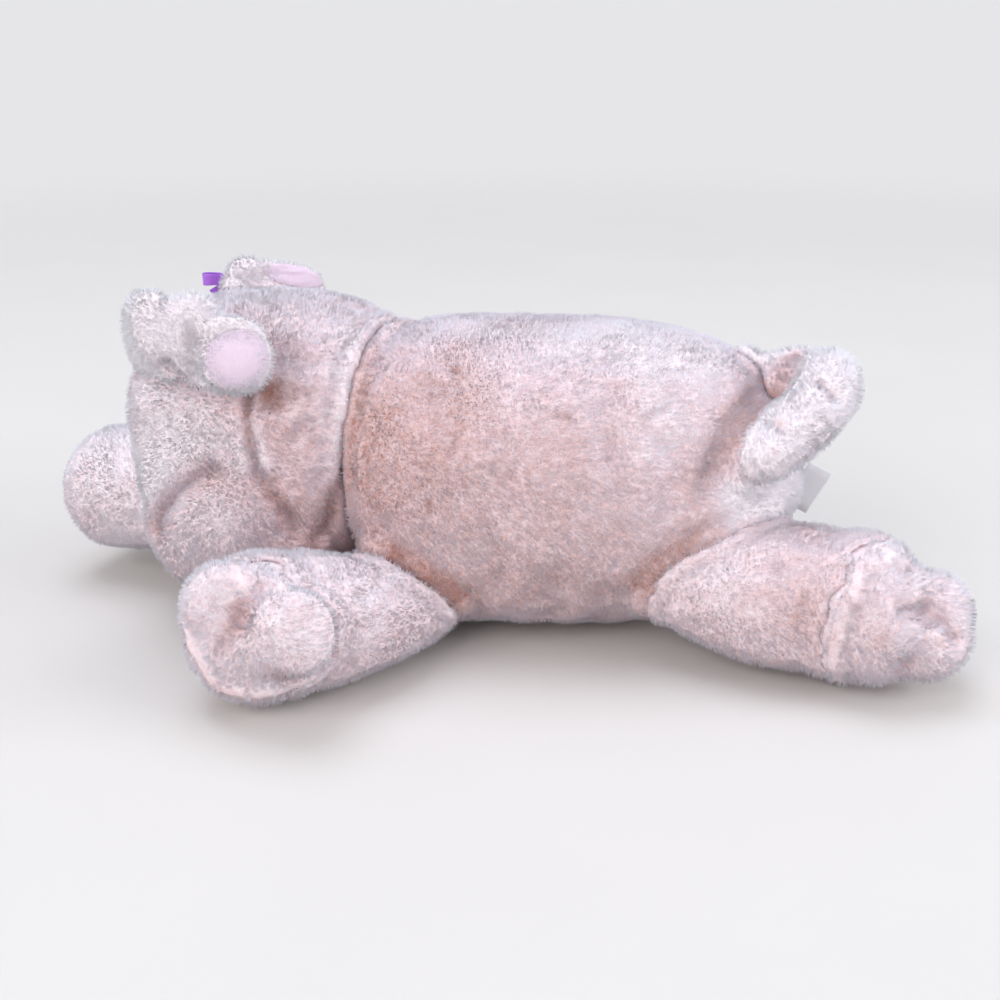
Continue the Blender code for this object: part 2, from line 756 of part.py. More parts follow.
def hind_hoof_balls(frame):
    """Heel and toes of a hind hoof, which points away from the hip."""
    along, out, height = HIND_HEEL_ALONG, HIND_HEEL_OUT, HIND_HEEL_HEIGHT
    heel = frame.place(along, out, height)
    upper = frame.place(along + HIND_UPPER_TOE_AHEAD, out + HIND_UPPER_TOE_OUT, height + HIND_UPPER_TOE_RISE)
    lower = frame.place(along + HIND_LOWER_TOE_AHEAD, out + HIND_LOWER_TOE_OUT, height - HIND_LOWER_TOE_DROP)
    return (
        (heel, HIND_HEEL_DIAMETER),
        (upper, HIND_TOE_DIAMETER),
        (lower, HIND_TOE_DIAMETER),
    )


def make_leg(name, frame, hinge, body_cutters, front):
    """A leg's cover, filling and hoof on its hinge."""
    parent = empty(f"{name}_hinge", hinge)
    if front:
        shares, length, splay = FRONT_LEG_ROW_SHARES, FRONT_LEG_LENGTH, FRONT_LEG_SPLAY
        width, height, caps = FRONT_LEG_WIDTH, FRONT_LEG_HEIGHT, (FRONT_LEG_ROOT_CAP, FRONT_LEG_END_CAP)
        balls = front_hoof_balls(frame)
    else:
        shares, length, splay = HIND_LEG_ROW_SHARES, HIND_LEG_LENGTH, HIND_LEG_SPLAY
        width, height, caps = HIND_LEG_WIDTH, HIND_LEG_HEIGHT, (HIND_LEG_ROOT_CAP, HIND_LEG_END_CAP)
        balls = hind_hoof_balls(frame)
    form = leg_form(frame, shares, length, splay, width, height, caps)
    seat = hoof(f"{name}_hoof", balls, parent)
    stuffed(f"{name}_leg", (form,), LEG_FACETS, (*body_cutters, seat), parent, floor=0.0)


def make_legs(body_cutter, head_cutter):
    """The four legs, the front ones cut to fit the head as well."""
    both = (body_cutter, head_cutter)
    frame = LegFrame(BODY_FRONT + FRONT_HIP_BEHIND, BODY_SIDE - FRONT_HIP_IN, FRONT_TURN, -1)
    hinge = (BODY_FRONT + FRONT_HINGE_BEHIND, FRONT_HINGE_IN - BODY_SIDE, FRONT_HINGE_Z)
    make_leg("front_left", frame, hinge, both, True)
    hip_x, hip_y = BODY_FRONT + FAR_FRONT_HIP_BEHIND, BODY_SIDE - FAR_FRONT_HIP_IN
    frame = LegFrame(hip_x, hip_y, FAR_FRONT_TURN, 1, -RIGHT_ANGLE)
    hinge = (BODY_FRONT + FAR_FRONT_HINGE_BEHIND, BODY_SIDE - FAR_FRONT_HINGE_IN, FAR_FRONT_HINGE_Z)
    make_leg("front_right", frame, hinge, both, True)
    hip_x, hip_y = BODY_END - HIND_HIP_BEFORE, BODY_SIDE - HIND_HIP_IN
    frame = LegFrame(hip_x, hip_y, HIND_TURN, -1, -RIGHT_ANGLE)
    hinge = (BODY_END - HIND_HINGE_BEFORE, HIND_HINGE_IN - BODY_SIDE, HIND_HINGE_Z)
    make_leg("hind_left", frame, hinge, (body_cutter,), False)
    frame = LegFrame(BODY_END - FAR_HIND_HIP_BEFORE, BODY_SIDE - FAR_HIND_HIP_IN, FAR_HIND_TURN, 1)
    hinge = (BODY_END - FAR_HIND_HINGE_BEFORE, BODY_SIDE + FAR_HIND_HINGE_OUT, FAR_HIND_HINGE_Z)
    make_leg("hind_right", frame, hinge, (body_cutter,), False)


def tail_forms():
    """The tail's thin root strip and its thick curl."""
    forms = []
    for row_shares, caps in (
        (TAIL_STRIP_ROW_SHARES, (TAIL_ROOT_CAP, TAIL_ROOT_CAP)),
        (TAIL_CURL_ROW_SHARES, (TAIL_CAP, TAIL_CAP)),
    ):
        rows = []
        for along, out, rise, wide in row_shares:
            height = TAIL_RISE * rise if rise > 0 else TAIL_DROP * rise
            middle = (TAIL_ROOT_X + TAIL_REACH * along, -TAIL_CURL_OUT * out, TAIL_ROOT_Z + height)
            rows.append((*middle, TAIL_THICKNESS / 2 * wide, TAIL_THICKNESS / 2 * wide))
        forms.append(Form(rows, caps, 2.0, carried=True))
    return forms


def on_head(place_shares, below):
    """A place near the top of the head, at these shares of its length and width."""
    ahead, aside = place_shares
    return Vector((NECK_X - HEAD_LENGTH * ahead, HEAD_WIDTH * aside, HEAD_TOP - below))


def ear_form(root, side, row_shares, width, thickness):
    """One floppy ear, which leaves the head sideways and flops back."""
    rows = []
    for along, out, rise, wide, thick in row_shares:
        middle = root + Vector((EAR_LENGTH * along, side * EAR_LENGTH * out, EAR_LENGTH * rise))
        rows.append((*middle, thickness / 2 * thick, width / 2 * wide))
    return Form(rows, (EAR_CAP, EAR_CAP), 2.0)


def make_ear(name, root, side, row_shares, head_cutter, parent):
    """The plush back of an ear and the thin lining on its outer face."""
    back_form = ear_form(root, side, row_shares, EAR_WIDTH, EAR_THICKNESS)
    back = add_object(f"{name}_back", back_form.mesh(f"{name}_back", EAR_FACETS), PLUSH, parent)
    boolean(back, head_cutter)
    outer = root + Vector((0, side * EAR_LINING_THICKNESS, 0))
    lining_form = ear_form(outer, side, row_shares[2:], EAR_LINING_WIDTH, EAR_THICKNESS)
    lining = add_object(f"{name}_lining", lining_form.mesh(f"{name}_lining", EAR_FACETS), LINING, parent)
    back_grown = add_cutter(f"{name}_back_grown", back_form.mesh(f"{name}_back_grown", EAR_FACETS, GAP))
    boolean(lining, back_grown)
    boolean(lining, head_cutter)
    return back_grown


def ribbon_mesh(name, path, across, shares, matrix):
    """A ribbon along a path of places, closed if it ends where it starts, as wide as its shares say."""
    shape = bmesh.new()
    closed = (path[0] - path[-1]).length < RIBBON_THICKNESS
    if closed:
        path = path[:-1]
    count = len(path)
    sections = []
    for k in range(count):
        before = path[(k - 1) % count] if closed or k else path[0]
        after = path[(k + 1) % count] if closed or k < count - 1 else path[-1]
        normal = across.cross(after - before).normalized() * RIBBON_THICKNESS / 2
        width = across * RIBBON_WIDTH / 2 * shares[k]
        corners = (normal + width, normal - width, -normal - width, -normal + width)
        sections.append([shape.verts.new(matrix @ (path[k] + corner)) for corner in corners])
    spans = list(zip(sections, sections[1:]))
    if closed:
        spans.append((sections[-1], sections[0]))
    else:
        shape.faces.new(sections[0])
        shape.faces.new(reversed(sections[-1]))
    for one, two in spans:
        for k in range(4):
            after = (k + 1) % 4
            shape.faces.new((one[k], two[k], two[after], one[after]))
    return finished_mesh(name, shape)


def knot_mesh(name, matrix, diameter):
    """The round knot of the bow."""
    shape = bmesh.new()
    bmesh.ops.create_uvsphere(
        shape,
        u_segments=KNOT_SIDES,
        v_segments=KNOT_RINGS,
        radius=diameter / 2,
        matrix=matrix,
    )
    return finished_mesh(name, shape)


def bow_loop(side):
    """The places and width shares along one loop, which stands out sideways from the knot."""
    places = []
    shares = []
    for k in range(LOOP_POINTS + 1):
        turn = 2 * math.pi * k / LOOP_POINTS
        reach = BOW_KNOT_DIAMETER / 4 + BOW_LOOP_LENGTH * (1 - math.cos(turn)) / 2
        swell = BOW_LOOP_HEIGHT / 2 * math.sin(turn) * math.sin(turn / 2)
        places.append(Vector((side * reach, 0, swell + RIBBON_THICKNESS * math.cos(turn / 2))))
        shares.append(BOW_PINCH_SHARE + (1 - BOW_PINCH_SHARE) * math.sin(turn / 2))
    places[-1] = places[0]
    return places, shares


def bow_tail(side):
    """The places, sideways direction and width shares of one tail, which hangs flat below the knot."""
    slope = math.radians(BOW_TAIL_SLOPE)
    ahead = Vector((side * math.cos(slope), -math.sin(slope), 0))
    across = Vector((side * math.sin(slope), math.cos(slope), 0))
    places = []
    shares = []
    for k in range(TAIL_POINTS):
        share = k / (TAIL_POINTS - 1)
        lift = BOW_TAIL_WAVE * math.sin(math.pi * share)
        places.append(ahead * (BOW_KNOT_DIAMETER / 4 + BOW_TAIL_LENGTH * share) + Vector((0, 0, lift)))
        shares.append(BOW_PINCH_SHARE + (1 - BOW_PINCH_SHARE) * share)
    return places, across, shares


def bow(ear_cutter, head_cutter, parent):
    """The ribbon bow: two loops and two tails round a knot that is sewn to the ear."""
    upright = Matrix.Rotation(math.radians(RIGHT_ANGLE), 4, "X")
    turned = Matrix.Rotation(math.radians(BOW_TURN), 4, "Z")
    matrix = Matrix.Translation(on_head(BOW_PLACE_SHARES, BOW_BELOW)) @ turned @ upright
    knot = add_object("bow_knot", knot_mesh("bow_knot", matrix, BOW_KNOT_DIAMETER), SATIN, parent)
    boolean(knot, ear_cutter)
    grown = knot_mesh("bow_knot_grown", matrix, BOW_KNOT_DIAMETER + 2 * GAP)
    knot_grown = add_cutter(grown.name, grown)
    for name, side in (("left", 1), ("right", -1)):
        places, shares = bow_loop(side)
        mesh = ribbon_mesh(f"bow_loop_{name}", places, Vector((0, 1, 0)), shares, matrix)
        loop = add_object(f"bow_loop_{name}", mesh, SATIN, parent)
        cut_all(loop, (knot_grown, ear_cutter))
        places, across, shares = bow_tail(side)
        mesh = ribbon_mesh(f"bow_tail_{name}", places, across, shares, matrix)
        tail = add_object(f"bow_tail_{name}", mesh, SATIN, parent)
        notch = notch_cutter(f"bow_notch_{name}", places[-1], places[-1] - places[-2], across, matrix)
        cut_all(tail, (knot_grown, ear_cutter, head_cutter, notch))


def notch_cutter(name, end, direction, across, matrix):
    """A wedge that cuts a V into a ribbon's end."""
    ahead = direction.normalized()
    normal = across.cross(ahead).normalized()
    shape = bmesh.new()
    corners = (
        -ahead * BOW_NOTCH,
        ahead * OVERRUN + across * RIBBON_WIDTH / 2,
        ahead * OVERRUN - across * RIBBON_WIDTH / 2,
    )
    layers = []
    for side in (-1, 1):
        lift = normal * RIBBON_THICKNESS * side
        layers.append([shape.verts.new(matrix @ (end + corner + lift)) for corner in corners])
    shape.faces.new(layers[0])
    shape.faces.new(reversed(layers[1]))
    for k in range(3):
        after = (k + 1) % 3
        shape.faces.new((layers[0][k], layers[1][k], layers[1][after], layers[0][after]))
    return add_cutter(name, finished_mesh(name, shape))


def care_label(body_cutter, parent):
    """The folded satin tab that is sewn into the rump seam."""
    shape = bmesh.new()
    half = LABEL_SHEET + LABEL_FOLD_GAP / 2
    inner = LABEL_FOLD_GAP / 2
    root = -LABEL_SHEET
    outline = (
        (root - LABEL_LENGTH, half),
        (LABEL_LENGTH, half),
        (LABEL_LENGTH + half, 0),
        (LABEL_LENGTH, -half),
        (root - LABEL_LENGTH, -half),
        (root - LABEL_LENGTH, -inner),
        (LABEL_LENGTH - LABEL_SHEET, -inner),
        (LABEL_LENGTH - LABEL_SHEET, inner),
        (root - LABEL_LENGTH, inner),
    )
    lower = [shape.verts.new((x, y, -LABEL_WIDTH / 2)) for x, y in outline]
    upper = [shape.verts.new((x, y, LABEL_WIDTH / 2)) for x, y in outline]
    shape.faces.new(lower)
    shape.faces.new(reversed(upper))
    for k in range(len(outline)):
        after = (k + 1) % len(outline)
        shape.faces.new((lower[k], upper[k], upper[after], lower[after]))
    mesh = finished_mesh("care_label", shape)
    tilt = Matrix.Rotation(math.radians(LABEL_TILT), 4, "Y")
    mesh.transform(Matrix.Translation((LABEL_X, LABEL_Y, LABEL_Z)) @ tilt)
    label = add_object("care_label", mesh, LABEL_CLOTH, parent)
    boolean(label, body_cutter)


def main():
    """Builds the pig."""
    clear_scene()
    body = body_form()
    head = head_form()
    body_grown = add_cutter("body_grown", body.mesh("body_grown", BODY_FACETS, SEAM_GAP))
    head_grown = add_cutter("head_grown", head.mesh("head_grown", HEAD_FACETS, SEAM_GAP))
    _, body_filling = stuffed("body", (body,), BODY_FACETS, (), None, FINE_INNER_FACETS, 0.0, True)
    body_shrunk = add_cutter("body_shrunk", body.mesh("body_shrunk", BODY_FACETS, -GAP))
    boolean(body_filling, body_shrunk, "INTERSECT")
    neck = empty("neck_hinge", (BODY_FRONT + NECK_HINGE_AHEAD, 0, BODY_HEIGHT + NECK_HINGE_ABOVE))
    head_cover, head_filling = stuffed("head", (head,), HEAD_FACETS, (body_grown,), neck)
    stuffed("snout", (snout_form(),), SNOUT_FACETS, (head_grown,), neck)
    nose(neck)
    eyes(head, head_cover, head_filling, neck)
    make_legs(body_grown, head_grown)
    tail_hinge = empty("tail_hinge", (TAIL_ROOT_X, TAIL_HINGE_Y, BODY_HEIGHT - TAIL_HINGE_BELOW))
    stuffed("tail", tail_forms(), TAIL_FACETS, (body_grown,), tail_hinge, FINE_INNER_FACETS)
    near_root = on_head(NEAR_EAR_PLACE_SHARES, NEAR_EAR_BELOW)
    far_root = on_head(FAR_EAR_PLACE_SHARES, FAR_EAR_BELOW)
    near_hinge = empty("left_ear_hinge", on_head(NEAR_EAR_HINGE_SHARES, NEAR_EAR_HINGE_BELOW))
    far_hinge = empty("right_ear_hinge", on_head(FAR_EAR_HINGE_SHARES, FAR_EAR_HINGE_BELOW))
    make_ear("left_ear", near_root, -1, NEAR_EAR_ROW_SHARES, head_grown, near_hinge)
    far_ear_grown = make_ear("right_ear", far_root, 1, FAR_EAR_ROW_SHARES, head_grown, far_hinge)
    bow(far_ear_grown, head_grown, far_hinge)
    label_hinge = empty("label_hinge", (BODY_END + LABEL_HINGE_BEYOND, LABEL_Y, LABEL_Z))
    care_label(body_grown, label_hinge)
    clean_cuts()


main()
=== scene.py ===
"""Looks of a plush toy pig that lies on its belly: skins, pile, ears, tail, bow, label, floor and light."""

import logging
import math
from dataclasses import dataclass, field
from enum import Enum

import bmesh
import bpy
import numpy as np
from bpy.types import Material, Node, NodeTree, Object
from mathutils import Matrix, Vector
from mathutils.bvhtree import BVHTree
from mathutils.kdtree import KDTree


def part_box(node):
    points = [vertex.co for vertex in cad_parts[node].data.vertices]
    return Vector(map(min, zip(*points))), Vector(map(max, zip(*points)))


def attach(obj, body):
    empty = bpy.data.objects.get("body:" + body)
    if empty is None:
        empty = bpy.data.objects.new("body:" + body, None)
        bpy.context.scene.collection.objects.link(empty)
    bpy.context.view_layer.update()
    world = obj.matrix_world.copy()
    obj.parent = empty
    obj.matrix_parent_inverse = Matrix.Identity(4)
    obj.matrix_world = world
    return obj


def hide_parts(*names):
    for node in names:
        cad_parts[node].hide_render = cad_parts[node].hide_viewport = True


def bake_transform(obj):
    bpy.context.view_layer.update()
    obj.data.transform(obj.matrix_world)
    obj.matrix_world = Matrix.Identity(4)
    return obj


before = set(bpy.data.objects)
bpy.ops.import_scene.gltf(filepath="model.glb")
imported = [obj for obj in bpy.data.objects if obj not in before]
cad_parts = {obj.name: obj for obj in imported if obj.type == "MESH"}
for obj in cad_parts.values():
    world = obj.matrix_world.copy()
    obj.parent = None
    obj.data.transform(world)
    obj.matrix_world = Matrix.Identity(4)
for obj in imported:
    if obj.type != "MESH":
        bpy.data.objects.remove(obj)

Rows = np.ndarray
Point = tuple[float, float, float]
Pixel = tuple[float, float]
Tones = tuple[tuple[float, str], ...]
Strands = dict[str, Rows]

MM = 0.001
LOG = logging.getLogger("plush_pig")
# Four triangles a strand keep each piece of pile under 200,000 triangles.
PIECE_STRANDS = 49000
# The lowest place of a skin, and the clear space between pile and what it lies on.
SKIN_FLOOR = 0.8 * MM
PILE_GAP = 0.4 * MM
# How far a seam holds the skin back, how far strands lean over it, and how far their tips feel for it.
SEAM_REACH = 9 * MM
LEAN_REACH = 5 * MM
TIP_REACH = 6 * MM
# No strand grows where the point this far out of the skin is inside a neighbour, down to this depth.
PROBE = 1.1 * MM
PROBE_DEPTH = 8 * MM
# Below this height the skin rests on the floor, and only a share of its pile is made.
RESTING = 1.2 * MM
RESTING_SHARE = 0.15
# The share of a lining's width that has no pile under it.
BARE_SHARE = 0.58
# The widths of the patches in which the pile's lean, length and tone drift.
WIDE_SWIRL = 26 * MM
FINE_SWIRL = 7 * MM
LENGTH_PATCH = 14 * MM
TONE_PATCHES = (60 * MM, 17 * MM)
# How far the pile stands away from a dimple's heart.
RADIATE_REACH = 22 * MM
# A stuffed piece settles in this many steps of the cloth simulation.
CLOTH_STEPS = 20
CLOTH = {
    "use_pressure": True, "uniform_pressure_force": 4.0, "quality": 4, "tension_stiffness": 12.0,
    "compression_stiffness": 12.0, "bending_stiffness": 0.4, "shrink_min": -0.03,
}


def linear(colour: str) -> tuple[float, float, float, float]:
    """Turns an sRGB hex colour into Blender's linear values.

    Args:
        colour: six hex digits after a hash.

    Returns:
        Red, green, blue and alpha.
    """
    parts = [int(colour[i : i + 2], 16) / 255 for i in (1, 3, 5)]
    made = [c / 12.92 if c <= 0.04045 else ((c + 0.055) / 1.055) ** 2.4 for c in parts]
    return (made[0], made[1], made[2], 1.0)


def add_node(
    tree: NodeTree,
    kind: str,
    settings: dict | None = None,
    values: dict | None = None,
    links: dict | None = None,
) -> Node:
    """Adds one node with its settings, values and links.

    Args:
        tree: the node tree.
        kind: the node's type name, without its first word.
        settings: attributes of the node.
        values: input socket to its value.
        links: input socket to the output socket that feeds it.

    Returns:
        The node.
    """
    node = tree.nodes.new("ShaderNode" + kind)
    for name, value in (settings or {}).items():
        setattr(node, name, value)
    for socket, value in (values or {}).items():
        node.inputs[socket].default_value = value
    for socket, source in (links or {}).items():
        tree.links.new(source, node.inputs[socket])
    return node


def fill_ramp(node: Node, stops: Tones) -> None:
    """Gives a colour ramp its stops.

    Args:
        node: a ColorRamp node.
        stops: place and hex colour of each stop, from low to high.
    """
    ramp = node.color_ramp
    while len(ramp.elements) < len(stops):
        ramp.elements.new(0.5)
    for element, (place, colour) in zip(ramp.elements, stops):
        element.position = place
        element.color = linear(colour)


def blank_material(name: str) -> tuple[Material, NodeTree]:
    """Starts a node material with an empty tree.

    Args:
        name: the material's name.

    Returns:
        The material and its node tree.
    """
    material = bpy.data.materials.new(name)
    material.use_nodes = True
    material.node_tree.nodes.clear()
    return material, material.node_tree


class RibbonForm(Enum):
    """How a strip of ribbon runs."""

    LOOP = "loop"
    TAIL = "tail"
    WRAP = "wrap"
    FOLD = "fold"


# Tone runs from 0, warm and dark, to 1, nearly white. The warm low end is painted shade for creases and hollows,
# the bluish-white high end of the tips is a painted highlight, and the roots are darker than the tips partly as
# painted shade within the pile.
ROOT_TONES = ((0.0, "#BB8679"), (0.12, "#C79B93"), (0.32, "#D6B5B2"), (0.6, "#E6CED2"), (1.0, "#F4EBF0"))
TIP_TONES = ((0.0, "#C2A3A3"), (0.15, "#CEB7BA"), (0.35, "#DACCD8"), (0.6, "#E6DFED"), (1.0, "#F4F6FF"))


@dataclass(frozen=True)
class PlushPile:
    """Polyester plush, knitted and sheared: warm and darker at the roots, partly its colour and partly painted
    shade within the pile, pale and matt at the brushed tips, with a bluish-white painted highlight where the tone
    is highest.
    """

    name: str = "polyester_plush_pile"
    roots: Tones = ROOT_TONES
    tips: Tones = TIP_TONES
    roughness: float = 0.82
    sheen: float = 0.25

    def material(self) -> Material:
        """Makes the material: U of the map is the strand's tone, painted light and shade included, V runs from root
        to tip.

        Returns:
            The material.
        """
        material, tree = blank_material(self.name)
        place = add_node(tree, "UVMap", {"uv_map": "OFBake"})
        split = add_node(tree, "SeparateXYZ", links={0: place.outputs[0]})
        low = add_node(tree, "ValToRGB", links={0: split.outputs[0]})
        high = add_node(tree, "ValToRGB", links={0: split.outputs[0]})
        fill_ramp(low, self.roots)
        fill_ramp(high, self.tips)
        # The roots are darker than the tips partly as painted shade within the pile.
        rise = add_node(tree, "MapRange", values={1: 0.05, 2: 0.75, 3: 0.0, 4: 1.0},
                        links={0: split.outputs[1]})
        colour = add_node(tree, "Mix", {"data_type": "RGBA"},
                          links={0: rise.outputs[0], 6: low.outputs[0], 7: high.outputs[0]})
        shader = add_node(
            tree, "BsdfPrincipled",
            values={"Roughness": self.roughness, "Sheen Weight": self.sheen, "Sheen Roughness": 0.5,
                    "Specular IOR Level": 0.2},
            links={"Base Color": colour.outputs[2]},
        )
        add_node(tree, "OutputMaterial", links={0: shader.outputs[0]})
        return material


@dataclass(frozen=True)
class PlushGround:
    """The dense lower half of the pile, seen between its tips: warm and darker, partly its colour and partly
    painted shade deep in the pile, matt and finely grained.
    """

    name: str = "polyester_plush_ground"
    tones: Tones = ROOT_TONES
    # A fibre is 0.02 mm thick, too fine to show: the grain is drawn as coarse as it needs to be.
    fibre_mm: float = 0.8
    tuft_mm: float = 3.5

    def material(self) -> Material:
        """Makes the material: the skin's tone attribute, random tone with painted light and shade, broken by tufts
        and fibres.

        Returns:
            The material.
        """
        material, tree = blank_material(self.name)
        place = add_node(tree, "TexCoord")
        tone = add_node(tree, "Attribute", {"attribute_name": "tone"})
        fibre = add_node(tree, "TexNoise", values={"Scale": 1000 / self.fibre_mm, "Detail": 2.0},
                         links={"Vector": place.outputs["Object"]})
        tuft = add_node(tree, "TexNoise", values={"Scale": 1000 / self.tuft_mm, "Detail": 2.0},
                        links={"Vector": place.outputs["Object"]})
        grain = add_node(tree, "Math", {"operation": "ADD"},
                         links={0: fibre.outputs[0], 1: tuft.outputs[0]})
        swing = add_node(tree, "MapRange", values={1: 0.6, 2: 1.4, 3: -0.28, 4: 0.28},
                         links={0: grain.outputs[0]})
        share = add_node(tree, "Math", {"operation": "ADD", "use_clamp": True},
                         links={0: tone.outputs["Fac"], 1: swing.outputs[0]})
        colour = add_node(tree, "ValToRGB", links={0: share.outputs[0]})
        fill_ramp(colour, self.tones)
        bump = add_node(tree, "Bump", values={"Strength": 0.5, "Distance": 0.5 * MM},
                        links={"Height": grain.outputs[0]})
        shader = add_node(
            tree, "BsdfPrincipled",
            values={"Roughness": 0.9, "Specular IOR Level": 0.15, "Sheen Weight": 0.25, "Sheen Roughness": 0.5},
            links={"Base Color": colour.outputs[0], "Normal": bump.outputs[0]},
        )
        add_node(tree, "OutputMaterial", links={0: shader.outputs[0]})
        return material


@dataclass(frozen=True)
class SatinWeave:
    """Woven polyester satin: fine diagonal floats, smooth and softly glossy."""

    name: str
    base: str
    shade: str
    # Real threads are 0.1 mm apart, too fine to show, so they are drawn wider.
    thread_mm: float = 0.35
    roughness: float = 0.38
    sheen: float = 0.3

    def material(self) -> Material:
        """Makes the material from a wave of threads and soft patches.

        Returns:
            The material.
        """
        material, tree = blank_material(self.name)
        place = add_node(tree, "TexCoord")
        thread = add_node(tree, "TexWave", {"wave_type": "BANDS", "bands_direction": "DIAGONAL"},
                          {"Scale": 1000 / self.thread_mm / math.tau, "Distortion": 0.6},
                          {"Vector": place.outputs["Object"]})
        patch = add_node(tree, "TexNoise", values={"Scale": 160.0, "Detail": 2.0},
                         links={"Vector": place.outputs["Object"]})
        share = add_node(tree, "Math", {"operation": "MULTIPLY"},
                         links={0: thread.outputs[1], 1: patch.outputs[0]})
        colour = add_node(tree, "Mix", {"data_type": "RGBA"},
                          values={6: linear(self.base), 7: linear(self.shade)}, links={0: share.outputs[0]})
        bump = add_node(tree, "Bump", values={"Strength": 0.25, "Distance": 0.1 * MM},
                        links={"Height": thread.outputs[1]})
        shader = add_node(
            tree, "BsdfPrincipled",
            values={"Roughness": self.roughness, "Sheen Weight": self.sheen, "Specular IOR Level": 0.5},
            links={"Base Color": colour.outputs[2], "Normal": bump.outputs[0]},
        )
        add_node(tree, "OutputMaterial", links={0: shader.outputs[0]})
        return material


@dataclass(frozen=True)
class MouldedPlastic:
    """Injection-moulded ABS, polished: dark and glassy, with the faintest orange peel."""

    name: str
    base: str
    roughness: float = 0.08
    coat: float = 1.0

    def material(self) -> Material:
        """Makes the material with a very shallow orange-peel bump.

        Returns:
            The material.
        """
        material, tree = blank_material(self.name)
        place = add_node(tree, "TexCoord")
        peel = add_node(tree, "TexNoise", values={"Scale": 900.0, "Detail": 1.0},
                        links={"Vector": place.outputs["Object"]})
        tint = add_node(tree, "Mix", {"data_type": "RGBA"},
                        values={6: linear(self.base), 7: linear("#1B1412")}, links={0: peel.outputs[0]})
        bump = add_node(tree, "Bump", values={"Strength": 0.05, "Distance": 0.05 * MM},
                        links={"Height": peel.outputs[0]})
        shader = add_node(
            tree, "BsdfPrincipled",
            values={"Roughness": self.roughness, "Coat Weight": self.coat, "Coat Roughness": 0.03, "IOR": 1.53},
            links={"Base Color": tint.outputs[2], "Normal": bump.outputs[0]},
        )
        add_node(tree, "OutputMaterial", links={0: shader.outputs[0]})
        return material


@dataclass(frozen=True)
class StudioPaint:
    """Matt studio paint of the floor and backdrop, even and pale."""

    name: str = "studio_paint"
    base: str = "#D6D4D1"
    pale: str = "#DBD9D6"
    far: str = "#E6E6E8"

    def material(self) -> Material:
        """Makes the material: it takes the object's shadow, and far away the camera sees an even tone.

        Returns:
            The material.
        """
        material, tree = blank_material(self.name)
        place = add_node(tree, "TexCoord")
        grain = add_node(tree, "TexNoise", values={"Scale": 6.0, "Detail": 2.0},
                         links={"Vector": place.outputs["Object"]})
        colour = add_node(tree, "Mix", {"data_type": "RGBA"},
                          values={6: linear(self.base), 7: linear(self.pale)}, links={0: grain.outputs[0]})
        shader = add_node(tree, "BsdfPrincipled", values={"Roughness": 0.9, "Specular IOR Level": 0.1},
                          links={"Base Color": colour.outputs[2]})
        away = add_node(tree, "VectorMath", {"operation": "LENGTH"}, links={0: place.outputs["Object"]})
        far = add_node(tree, "MapRange", {"interpolation_type": "SMOOTHSTEP"}, {1: 0.5, 2: 2.2},
                       {0: away.outputs["Value"]})
        rays = add_node(tree, "LightPath")
        share = add_node(tree, "Math", {"operation": "MULTIPLY"},
                         links={0: far.outputs[0], 1: rays.outputs["Is Camera Ray"]})
        even = add_node(tree, "Emission", values={0: linear(self.far), 1: 1.0})
        mixed = add_node(tree, "MixShader",
                         links={0: share.outputs[0], 1: shader.outputs[0], 2: even.outputs[0]})
        add_node(tree, "OutputMaterial", links={0: mixed.outputs[0]})
        return material


@dataclass(frozen=True)
class PhotoCamera:
    """The camera at the photograph's viewing angle, and the ray of any pixel of it."""

    place: Point = (0.0, -0.5239, 0.2667)
    tilt: float = math.radians(68.0)
    lens_mm: float = 41.4
    sensor_mm: float = 36.0
    frame_px: float = 1000.0

    def make(self) -> None:
        """Adds the camera and makes it the scene's."""
        data = bpy.data.cameras.new("photo_camera")
        data.lens = self.lens_mm
        data.sensor_width = self.sensor_mm
        data.sensor_fit = "HORIZONTAL"
        data.clip_start = 0.02
        data.clip_end = 20.0
        camera = bpy.data.objects.new("photo_camera", data)
        camera.location = self.place
        camera.rotation_euler = (self.tilt, 0.0, 0.0)
        bpy.context.scene.collection.objects.link(camera)
        bpy.context.scene.camera = camera

    def ray(self, x: float, y: float) -> tuple[Vector, Vector]:
        """The line of sight through a pixel.

        Args:
            x: pixels from the left.
            y: pixels from the top.

        Returns:
            The camera's place and the direction.
        """
        focus = self.frame_px * self.lens_mm / self.sensor_mm
        half = self.frame_px / 2
        ahead = Vector((0.0, math.sin(self.tilt), -math.cos(self.tilt)))
        above = Vector((0.0, math.cos(self.tilt), math.sin(self.tilt)))
        aim = ahead + Vector((1.0, 0.0, 0.0)) * ((x - half) / focus) - above * ((y - half) / focus)
        return Vector(self.place), aim.normalized()

    def pixels(self, points: Rows) -> Rows:
        """Where points stand in the picture.

        Args:
            points: places, one a row.

        Returns:
            Pixels from the left and from the top, one row a point.
        """
        focus = self.frame_px * self.lens_mm / self.sensor_mm
        sine, cosine = math.sin(self.tilt), math.cos(self.tilt)
        away = points - np.array(self.place)
        depth = away[:, 1] * sine - away[:, 2] * cosine
        rise = away[:, 1] * cosine + away[:, 2] * sine
        return np.stack([away[:, 0], -rise], axis=1) / depth[:, None] * focus + self.frame_px / 2


CAMERA = PhotoCamera()


def unit(rows: Rows) -> Rows:
    """Scales each row to length one.

    Args:
        rows: vectors, one a row.

    Returns:
        The unit vectors.
    """
    return rows / np.maximum(np.linalg.norm(rows, axis=1, keepdims=True), 1e-12)


def drift(points: Rows, size: float, seed: int) -> Rows:
    """Smooth seeded noise, about -1 to 1.

    Args:
        points: places, one a row.
        size: the width of a patch in metres.
        seed: picks the pattern.

    Returns:
        One value a point.
    """
    rng = np.random.default_rng(seed)
    total = np.zeros(len(points))
    for _ in range(9):
        aim = unit(rng.normal(size=(1, 3)))[0]
        total += np.sin(points @ aim * (math.tau / size) * rng.uniform(0.5, 1.2) + rng.uniform(0, math.tau))
    return total / 4.5


